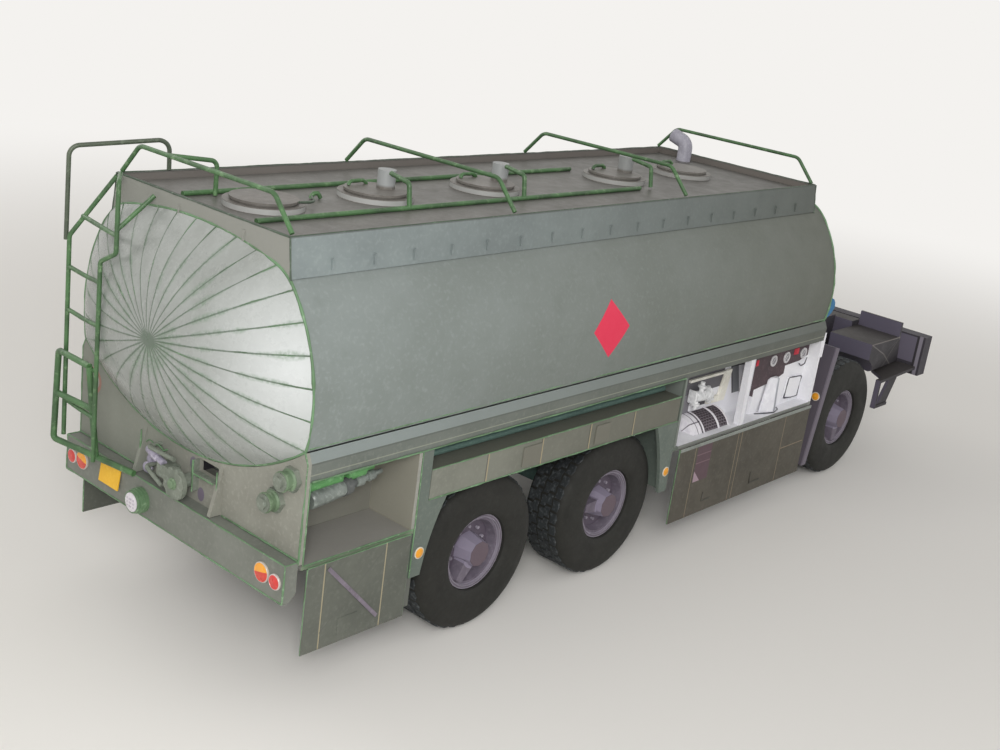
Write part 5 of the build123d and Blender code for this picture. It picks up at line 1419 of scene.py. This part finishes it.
def drum_marks(tree, place, colour):
    """Dark violet mesh between pale bands, and dark cross lines on the white rear cap."""
    parts = node(tree, "ShaderNodeSeparateXYZ", {0: place}).outputs
    away = node(tree, "ShaderNodeMath", {0: parts[1], 1: DEEP_Y}, operation="SUBTRACT").outputs[0]
    up = node(tree, "ShaderNodeMath", {0: parts[2], 1: DRUM_Z}, operation="SUBTRACT").outputs[0]
    turn = node(tree, "ShaderNodeMath", {0: up, 1: away}, operation="ARCTAN2").outputs[0]
    round_mm = node(tree, "ShaderNodeMath", {0: turn, 1: DRUM_R}, operation="MULTIPLY").outputs[0]
    flat = node(tree, "ShaderNodeCombineXYZ", {0: parts[0], 1: round_mm}).outputs[0]
    mesh_print = node(tree, "ShaderNodeTexBrick", {
        "Vector": flat, "Color1": paint("#2a2228"), "Color2": paint("#352b32"), "Mortar": paint("#7d757c"),
        "Scale": 1.0, "Mortar Size": 0.07, "Brick Width": 1.3, "Row Height": 0.8}).outputs[0]
    for first, last in ((149.6, 156.45), (157.25, 161.65)):
        inside = node(tree, "ShaderNodeMath", {0: parts[0], 1: (first + last) / 2, 2: (last - first) / 2},
                      operation="COMPARE").outputs[0]
        colour = node(tree, "ShaderNodeMix", {0: inside, 6: colour, 7: mesh_print},
                      data_type="RGBA").outputs[2]
    return stencils(tree, colour, (
        ([(parts[0], 146.6, 146.9)], "#4b4450", 0.85),
        ([(round_mm, 14.4, 14.75), (parts[0], 144, 149)], "#4b4450", 0.85),
        ([(parts[0], 148.55, 148.75)], "#39323b", 0.9)))


drum_print = card("printed_drum_card", "#e6e4e8", "#cfccd4", "#f2f1f4", patch_mm=4.0, marks=drum_marks)
drum = bmesh.new()
sections = []
for station, radius in DRUM_SECTIONS:
    last_turn = math.asin((FLOOR_Z + CLEAR_MM - DRUM_Z) / radius)
    section = [drum.verts.new(spot(station, WALL_Y, FLOOR_Z + CLEAR_MM))]
    for i in range(ARC_STEPS + 1):
        turn = math.pi / 2 + (last_turn - math.pi / 2) * i / ARC_STEPS
        section.append(drum.verts.new(spot(station, WALL_Y - radius * math.cos(turn),
                                           DRUM_Z + radius * math.sin(turn))))
    sections.append(section)
stack(drum, sections, (sections[0], sections[-1][::-1]))
bmesh.ops.recalc_face_normals(drum, faces=drum.faces)
drum_mesh = plain_mesh("pump_drum", drum)
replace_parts(add_piece("pump_drum", drum_mesh, "body", drum_print), "pump_set")
print("drum sections:", len(DRUM_SECTIONS))

# %% [markdown]
# Behind the drum stands a cream frame with the pump before it. The pump is stacked from turned flanges: a
# body along the bay and three necks, one up and two down, in the off-white of unpainted card.

# %% Frame and pump
cream_print = card("cream_frame_card", "#e9e7dd", "#d4d1c5", "#f4f2ea", patch_mm=5.0)
pump_print = card("off_white_pump_card", "#e4e5e6", "#bdbec0", "#f3f3f4", patch_mm=1.2)
# a dark card for the painted shade round the pump
pump_shade_print = card("pump_painted_shade_card", "#3c3a3f", "#2e2c31", "#56545a", patch_mm=1.5)
FRAME_THICK = 0.85
FRAME_POST = ((165.0, 46.4), (168.0, 46.4), (166.2, 37.2), (162.6, 37.2))
FRAME_FOOT = ((157.2, 37.4), (162.6, 37.2), (163.0, 39.2), (157.2, 39.4))
frame_sheets = [(rectangle(146.5, 165.0, WALL_Y, 45.5, 46.3), (0, -FRAME_THICK, 0))]
frame_sheets += [([(s, WALL_Y, z) for s, z in outline], (0, -FRAME_THICK, 0))
                 for outline in (FRAME_POST, FRAME_FOOT)]
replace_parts(add_piece("pump_frame", cut_card("pump_frame", frame_sheets), "body", cream_print),
            "pump_set")
PUMP_BODY = ((0, 0), (0, 1.3), (0.4, 1.5), (3.2, 1.55), (3.3, 1.2), (4.0, 1.2), (4.1, 1.5), (4.9, 1.5),
             (5.0, 1.1), (6.2, 1.1), (6.3, 1.75), (7.1, 1.75), (7.2, 1.2), (8.6, 1.15), (8.6, 0))
PUMP_NECK = ((0, 0), (0, 0.7), (1.6, 0.7), (1.7, 1.25), (2.3, 1.25), (2.4, 0.7), (3.4, 0.65), (3.4, 0))
PUMP_Z = 41.7
pump_line = DEEP_Y - 2.05
pump_meshes = [turned("pump", PUMP_BODY, spot(147.8, pump_line, PUMP_Z), (1, 0, -0.08), 28),
               turned("pump", PUMP_NECK, spot(150.6, pump_line, PUMP_Z + 0.6), (0.1, 0, 1), 24),
               turned("pump", PUMP_NECK, spot(156.2, pump_line, PUMP_Z + 0.2), (-0.1, 0, -1), 24),
               turned("pump", PUMP_NECK, spot(148.8, pump_line, PUMP_Z - 0.4), (0, 0, -1), 24),
               cut_card("pump", [(rectangle(153.8, 157.4, WALL_Y, 38.4, 43.0), (0, -1.1, 0)),
                                 (rectangle(147.4, 148.0, WALL_Y, 39.4, 43.4), (0, -2.7, 0)),
                                 (rectangle(154.1, 154.9, WALL_Y, 39.6, 43.4), (0, -3.4, 0))], 0.2)]
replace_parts(add_piece("pump_body", joined_mesh("pump_body", pump_meshes), "body", pump_print),
            "pump_set")
# dark sheets under and behind the pump body are painted shade
pump_shade_sheets = [(rectangle(149.4, 153.6, DEEP_Y - 1.2, 38.6, 40.1), (0, -1.0, 0)),
               (rectangle(155.4, 156.4, DEEP_Y - 1.2, 41.4, 42.4), (0, -0.2, 0))]
add_piece("pump_painted_shade", cut_card("pump_painted_shade", pump_shade_sheets, 0.04), "body",
          pump_shade_print)
print("pump pieces:", len(pump_meshes))

# %% [markdown]
# The instrument panel is a dark brown card with three dials, each a turned pale ring with a face and a
# pointer. Beside it stand a box with slanted sides and a white tray with a hand-drawn dark outline.

# %% Instrument panel and dials
panel_print = card("dark_brown_panel_card", "#4a3b40", "#3a2e33", "#6b5a60", patch_mm=3.0)
dial_print = card("pale_dial_card", "#d2d0d2", "#a9a7ab", "#ececee", patch_mm=1.2, gloss=0.4)
dial_face_print = card("grey_dial_face_card", "#8c8a8e", "#737177", "#b4b2b6", patch_mm=0.9, gloss=0.35)
red_print = card("red_mark_card", "#c2283c", "#9d2032", "#d84a5a", patch_mm=1.5)
SHALLOW_Y = -35.0
PANEL = ((171.2, 39.6), (186.0, 41.0), (191.5, 42.5), (191.5, 45.0), (200.0, 45.3), (204.6, 46.5),
         (204.6, 51.6), (171.2, 51.6))
panel_mesh = cut_card("instrument_panel", [([(s, SHALLOW_Y - 0.03, z) for s, z in PANEL], (0, -0.5, 0))])
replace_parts(add_piece("instrument_panel", panel_mesh, "body", panel_print), "pump_set")
PANEL_FACE = SHALLOW_Y - 0.53
DIALS = ((183.5, 47.8), (191.2, 47.7), (201.4, 47.6))
RING = ((0, 1.15), (0, 1.75), (0.3, 1.75), (0.36, 1.6), (0.36, 1.3), (0.3, 1.15))
FACE = ((0, 0), (0, 1.2), (0.12, 1.2), (0.12, 0))
rings = [turned("dial", RING, spot(s, PANEL_FACE, z), (0, -1, 0), 36) for s, z in DIALS]
rings += [cut_card("pointer", [(stick((s - 0.5, z - 0.6), (s + 0.7, z + 0.8), PANEL_FACE - 0.12, 0.12),
                                (0, -0.1, 0))], 0.02) for s, z in DIALS]
faces = [turned("dial_face", FACE, spot(s, PANEL_FACE, z), (0, -1, 0), 36) for s, z in DIALS]
add_piece("dial_rings", joined_mesh("dial_rings", rings), "body", dial_print)
add_piece("dial_faces", joined_mesh("dial_faces", faces), "body", dial_face_print)
red_sheets = [(rectangle(195.4, 198.2, PANEL_FACE, 47.8, 49.8), (0, -0.15, 0)),
              (rectangle(173.4, 174.8, PANEL_FACE, 47.6, 49.4), (0, -0.15, 0))]
add_piece("red_marks", cut_card("red_marks", red_sheets, 0.04), "body", red_print)
print("dials:", len(DIALS))

# %% [markdown]
# The standing box tapers upwards on a low foot, so it is stacked from four rings of five corners, and its
# sides that don't look to the rear get a grey painted shade. The tray is a flat sheet, and the outlines that
# are drawn by hand are brushed lines, as is the box's painted shadow on the floor.

# %% Standing box and tray
def box_painted_shade(tree, place, colour):
    """Painted shade makes the sides that don't look to the rear grey, and the rear one stays white."""
    return fade(tree, colour, facing(tree, 0), -0.1, 0.15, "#a0a3ac", 0.9)


# the grey on the box's sides is painted shade
box_card = card("white_box_card_with_painted_shade", "#e9e9ee", "#d6d6dd", "#f5f5f8", patch_mm=4.0,
                marks=box_painted_shade)
# one dark enamel for the drawn outlines and for a painted shadow
scribble_and_shadow_paint = enamel("dark_outline_and_shadow_enamel", "#4f5058", "#3f4048", "#8f9098", gloss=0.55)
BOX_FOOT = ((180.4, -35.6), (180.4, -36.4), (184.4, -38.2), (187.4, -37.2), (187.4, -35.6))
BOX_HEAD = ((182.4, -35.6), (182.4, -36.0), (184.8, -37.4), (187.2, -36.8), (187.2, -35.6))
BOX_LEVELS = ((BOX_FOOT, 32.05), (BOX_FOOT, 33.2), (BOX_HEAD, 42.0))
TOP_MIDDLE, TOP_NARROWING, TOP_RISE_MM = spot(185.2, -36.2, 43.0), 0.35, 0.3
box_shape = bmesh.new()
levels = [[box_shape.verts.new(spot(s, y, z)) for s, y in outline] for outline, z in BOX_LEVELS]
levels.append([box_shape.verts.new(v.co.lerp(TOP_MIDDLE, TOP_NARROWING) + Vector((0, 0, TOP_RISE_MM * MM)))
               for v in levels[-1]])
stack(box_shape, levels, (levels[0][::-1], levels[-1]))
bmesh.ops.recalc_face_normals(box_shape, faces=box_shape.faces)
box_mesh = plain_mesh("standing_box", box_shape)
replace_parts(add_piece("standing_box", box_mesh, "body", box_card), "pump_set")
TRAY = ((194.2, 34.0), (202.4, 33.4), (203.2, 40.2), (194.9, 40.9))
tray_mesh = cut_card("tray", [([(s, SHALLOW_Y - 0.03, z) for s, z in TRAY], (0, -0.8, 0))], 0.2)
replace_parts(add_piece("tray", tray_mesh, "body", white_print), "pump_set")
TRAY_FACE = SHALLOW_Y - 0.8
tray_outline = [(194.4, 34.2), (198.5, 33.7), (202.2, 33.6), (202.6, 36.8), (203.0, 40.0), (199.0, 40.4),
                (195.1, 40.7), (194.8, 37.4), (194.4, 34.2)]
# the chevron on the floor is the standing box's painted shadow
box_shadow_chevron = [(177.6, -35.9), (181.2, -37.4), (184.6, -38.5), (188.6, -37.4), (189.6, -36.2)]
handle = [(199.6, 44.6), (201.0, 43.6), (203.2, 44.0), (204.0, 45.8)]
dark_lines_and_shadow = [[spot(s, TRAY_FACE, z) for s, z in tray_outline], [spot(s, y, 32.15) for s, y in box_shadow_chevron],
              [spot(s, TRAY_FACE, z) for s, z in handle]]
brush_lines("bay_outlines_and_painted_shadow", dark_lines_and_shadow, 0.6, "body", scribble_and_shadow_paint, thin=0.3, wander_mm=0.5,
            seed=7.0, step_mm=0.6)


# %% [markdown]
# ## Fittings on the rear panel
# The hand wheel gets a scalloped rim: its outline is a circle whose radius swings by a sine. A short violet
# tube lies over the tap box, and the couplings get turned collars with worn green paint.

# %% Rear fittings
WHEEL_Y, WHEEL_Z, WHEEL_R = -3.4, 39.4, 3.45
SCALLOPS, SCALLOP_MM, STEPS_PER_SCALLOP = 11, 0.2, 8
scalloped = []
for i in range(SCALLOPS * STEPS_PER_SCALLOP):
    turn = 2 * math.pi * i / (SCALLOPS * STEPS_PER_SCALLOP)
    reach = WHEEL_R + SCALLOP_MM * math.sin(SCALLOPS * turn)
    scalloped.append((-4.38, WHEEL_Y + reach * math.cos(turn), WHEEL_Z + reach * math.sin(turn)))
add_piece("hand_wheel_rim", cut_card("hand_wheel_rim", [(scalloped, (-0.3, 0, 0))], 0.05), "body",
          fitting_print)
worn_green_paint = enamel("worn_green_fitting_enamel", "#6f8569", "#5a6f55", "#a8b8a0", gloss=0.5)
violet_tube_print = card("violet_tube_card", "#a8a3b4", "#7d788a", "#dedbe6", patch_mm=2.0, gloss=0.35)
BOSS = ((0, 0), (0, 1.3), (0.4, 1.3), (0.5, 0.95), (0.9, 0.9), (1.0, 0.6), (1.0, 0))
COLLAR = ((0.9, 0), (0.9, 2.25), (1.2, 2.3), (1.5, 2.1), (1.6, 1.95), (2.6, 2.0), (2.9, 2.15), (3.2, 2.1),
          (3.3, 1.5), (3.3, 0))
VIOLET_TUBE = ((0, 0), (0, 0.75), (0.3, 0.9), (1.6, 0.95), (1.7, 0.75), (2.2, 0.75), (2.3, 1.05), (4.0, 1.05),
               (4.2, 0.8), (6.4, 0.75), (6.4, 0))
bosses = [turned("boss", BOSS, spot(-4.5, WHEEL_Y, WHEEL_Z), (-1, 0, 0), 28),
          turned("boss", BOSS, spot(-1.0, -2.3, 36.8), (-1, 0, 0), 16)]
bosses += [turned("collar", COLLAR, spot(0, y, z), (-1, 0, 0), 36) for y, z in ((-35.4, 51.8), (-31.1, 45.7))]
add_piece("fitting_collars", joined_mesh("fitting_collars", bosses), "body", worn_green_paint)
tube_meshes = [turned("tube", VIOLET_TUBE, spot(-2.4, 8.9, 42.6), (-0.05, -1, -0.2), 24),
               turned("tube", BOSS, spot(-0.9, 10.6, 37.2), (-1, -0.3, 0), 20),
               turned("tube", BOSS, spot(-0.9, 9.3, 39.6), (-1, 0, 0), 16)]
add_piece("violet_tubes", joined_mesh("violet_tubes", tube_meshes), "body", violet_tube_print)
squiggle = [(11.0, 43.2), (9.6, 44.3), (8.0, 43.4), (6.2, 44.2), (4.6, 43.2), (3.4, 44.0)]
shelf_line = [[spot(-0.15, side * 38.9, 35.45), spot(-0.15, side * 14.4, 35.45)] for side in (-1, 1)]
fitting_lines = [[spot(-1.6, y, z) for y, z in squiggle], *shelf_line,
                 [spot(-1.4, -12.5, 42.0), spot(-1.4, -6.0, 42.0)],
                 [spot(-1.5, -5.7, 37.8), spot(-1.5, -5.7, 45.0)],
                 [spot(-1.2, 13.5, 36), spot(-1.2, 13.5, 45)],
                 [spot(-1.2, -13.5, 36), spot(-1.2, -13.5, 45)]]
brush_lines("rear_fitting_paint", fitting_lines, 0.6, "body", edge_paint, thin=0.3,
            wander_mm=0.3, seed=11.0)
print("scallops on the hand wheel:", SCALLOPS)


# %% [markdown]
# ## Rungs of the ladder
# Short pieces of the same wire join the two long rails. The CAD ladder comes without them, so they are made
# here. They sag a little and the brushed enamel is thicker on them, so they are brushed lines too.

# %% Ladder rungs
LEFT_RAIL, RIGHT_RAIL, RUNG_MIDDLE = (-7.6, 33.8), (-8.5, 20.4), (-8.05, 27.1)
RUNG_HEIGHTS = (46.5, 57.2, 67.4, 77.0)
RUNG_SAG = 0.15
rungs = [[spot(*LEFT_RAIL, z), spot(*RUNG_MIDDLE, z - RUNG_SAG), spot(*RIGHT_RAIL, z)] for z in RUNG_HEIGHTS]
brush_lines("ladder_rungs", rungs, 1.05, "body", wire_paint, thin=0.95, wander_mm=0.05, seed=17.0)


# %% [markdown]
# ## Small things on the deck
# Green handles lie on the manhole lids, a small knob stands beside the far pipe, and a dark bent hook lies
# by the first manhole. All of them are bent wire, so they are brushed lines with little variation.

# %% Deck handles and hook
MANHOLES = (48.4, 85.3, 138.5, 171.3)
LID_TOP = 98.7
handles = []
for station in MANHOLES:
    handles.append([spot(station - 4.6, 4.2, LID_TOP), spot(station - 4.2, 4.2, LID_TOP + 0.9),
                    spot(station + 0.2, 4.6, LID_TOP + 0.8), spot(station + 1.4, 4.7, LID_TOP)])
handles.append([spot(31.6, 2.6, 96.7), spot(32.0, 2.6, 97.8), spot(33.4, 2.4, 97.9), spot(34.0, 2.2, 96.7)])
brush_lines("deck_handles", handles, 1.3, "body", wire_paint, thin=0.6, wander_mm=0.25, seed=13.0,
            step_mm=0.7)
hook = [[spot(20.5, -6.6, 98.6), spot(24.0, -6.0, 98.3), spot(27.0, -4.0, 97.9), spot(28.3, -1.4, 98.3)]]
brush_lines("deck_hook", hook, 0.7, "body", dark_edge_paint, thin=0.6, wander_mm=0.1, seed=15.0)


# %% [markdown]
# ## The blue tab at the front
# The front head's blue card has a tab that stands forward at each lower corner and shows past the tank's
# edge. It follows the rim's own points and narrows to nothing at both ends.

# %% Blue tabs
TAB_FIRST_Z, TAB_LAST_Z, TAB_REACH = 66.0, 58.5, 4.6
# how full the tab's curve is, and how far it leans in as it stands out
TAB_ROUNDING, TAB_LEAN = 0.6, 0.06
# round one row of a tab, columns: share of its reach, distance out from the rim
TAB_ROW = ((0.0, -0.1), (0.5, -0.1), (1.0, -0.1), (1.0, -0.35), (0.5, -0.35), (0.0, -0.35))
rim_part = [p for p in half_rim[:UPPER_GORES * STEPS_PER_GORE + 1] if TAB_LAST_Z - 0.2 <= p.y <= TAB_FIRST_Z]
tab_shape = bmesh.new()
for side in (-1, 1):
    rows = []
    for i, p in enumerate(rim_part):
        reach = TAB_REACH * math.sin(math.pi * i / (len(rim_part) - 1)) ** TAB_ROUNDING
        rows.append([tab_shape.verts.new(spot(TANK_LENGTH + along * reach,
                                              side * (p.x + off - TAB_LEAN * along * reach), p.y))
                     for along, off in TAB_ROW])
    stack(tab_shape, rows, (rows[0], rows[-1][::-1]))
weld(tab_shape)
bmesh.ops.recalc_face_normals(tab_shape, faces=tab_shape.faces)
tab_mesh = plain_mesh("front_head_tabs", tab_shape)
add_piece("front_head_tabs", tab_mesh, "body", front_head_print)
print("tab rows on each side:", len(rim_part))


# %% [markdown]
# ## Floor and light
# A plain pale floor and soft light let the colours show as they are written. The main lamp stands behind
# the truck's right rear corner. A small flash lamp near the camera lights the doors and the rear head, as
# the photograph's flash did, but it is weak, so that nothing clips. The world is pale to the camera, to
# glossy and to transmission rays, and dimmer to the object. Far from the truck the floor fades into the
# same pale colour, and near it the floor keeps the truck's shadow.

# %% Floor
BACKDROP_COLOUR = "#f4f2ef"
WHITE_FROM_M, WHITE_AT_M = 0.2, 0.6
FLOOR_HALF_M, FLOOR_DROP_M = 12.0, 0.0003


def seen_share(tree):
    """1 for camera, glossy and transmission rays, and 0 for the rays that light the object."""
    rays = node(tree, "ShaderNodeLightPath").outputs
    seen = node(tree, "ShaderNodeMath", {0: rays["Is Camera Ray"], 1: rays["Is Glossy Ray"]},
                operation="MAXIMUM").outputs[0]
    return node(tree, "ShaderNodeMath", {0: seen, 1: rays["Is Transmission Ray"]},
                operation="MAXIMUM").outputs[0]


floor_finish = bpy.data.materials.new("pale_floor")
floor_finish.use_nodes = True
tree = floor_finish.node_tree
floor_shader = tree.nodes["Principled BSDF"]
floor_shader.inputs["Base Color"].default_value = paint("#f0eeea")
floor_shader.inputs["Roughness"].default_value = 0.85
floor_place = node(tree, "ShaderNodeTexCoord").outputs["Object"]
floor_distance = node(tree, "ShaderNodeVectorMath", {0: floor_place}, operation="LENGTH").outputs["Value"]
far_share = node(tree, "ShaderNodeMapRange", {0: floor_distance, 1: WHITE_FROM_M, 2: WHITE_AT_M},
                 interpolation_type="SMOOTHSTEP").outputs[0]
far_seen = node(tree, "ShaderNodeMath", {0: seen_share(tree), 1: far_share}, operation="MULTIPLY").outputs[0]
backdrop = node(tree, "ShaderNodeEmission", {0: paint(BACKDROP_COLOUR), 1: 1.0}).outputs[0]
floor_mix = node(tree, "ShaderNodeMixShader", {0: far_seen, 1: floor_shader.outputs[0],
                                               2: backdrop}).outputs[0]
tree.links.new(floor_mix, tree.nodes["Material Output"].inputs["Surface"])
floor_mesh = bpy.data.meshes.new("floor")
floor_corners = [(x * FLOOR_HALF_M, y * FLOOR_HALF_M, -FLOOR_DROP_M)
                 for x, y in ((-1, -1), (1, -1), (1, 1), (-1, 1))]
floor_mesh.from_pydata(floor_corners, [], [(0, 1, 2, 3)])
floor_mesh.materials.append(floor_finish)
floor = bpy.data.objects.new("floor", floor_mesh)
bpy.context.scene.collection.objects.link(floor)
print("floor is", 2 * FLOOR_HALF_M, "m wide")

# %% [markdown]
# The world's strength is 1 for rays from the camera, a glossy or a clear surface, and lower for those that
# light the truck. Four soft area lamps give the rest, the strongest one from the truck's rear right.

# %% Lamps and world
WORLD_LIGHT = 0.45
world = bpy.data.worlds.new("studio")
world.use_nodes = True
bpy.context.scene.world = world
tree = world.node_tree
strength = node(tree, "ShaderNodeMapRange", {0: seen_share(tree), 3: WORLD_LIGHT, 4: 1.0}).outputs[0]
background = tree.nodes["Background"]
background.inputs["Color"].default_value = paint(BACKDROP_COLOUR)
tree.links.new(strength, background.inputs["Strength"])


def lamp(name, place_mm, aim_mm, width_m, watts, tint):
    """A square soft lamp aimed at a point."""
    data = bpy.data.lights.new(name, "AREA")
    data.size = width_m
    data.energy = watts
    data.color = paint(tint)[:3]
    made = bpy.data.objects.new(name, data)
    bpy.context.scene.collection.objects.link(made)
    made.location = Vector(place_mm) * MM
    made.rotation_mode = "QUATERNION"
    made.rotation_quaternion = (Vector(aim_mm) * MM - made.location).to_track_quat("-Z", "Y")


lamp("main_lamp", (-620, -560, 500), (0, 0, 55), 0.4, 3.3, "#fffdfa")
lamp("flash_lamp", (-318, -228, 176), (10, 0, 60), 0.05, 0.3, "#ffffff")
lamp("rear_lamp", (-250, 900, 520), (0, 0, 50), 0.8, 2.4, "#fffdfa")
lamp("fill_lamp", (500, -900, 500), (60, 0, 50), 0.8, 1.2, "#f6f8ff")
bpy.context.scene.view_settings.view_transform = "Standard"
print("lamps:", len(bpy.data.lights))
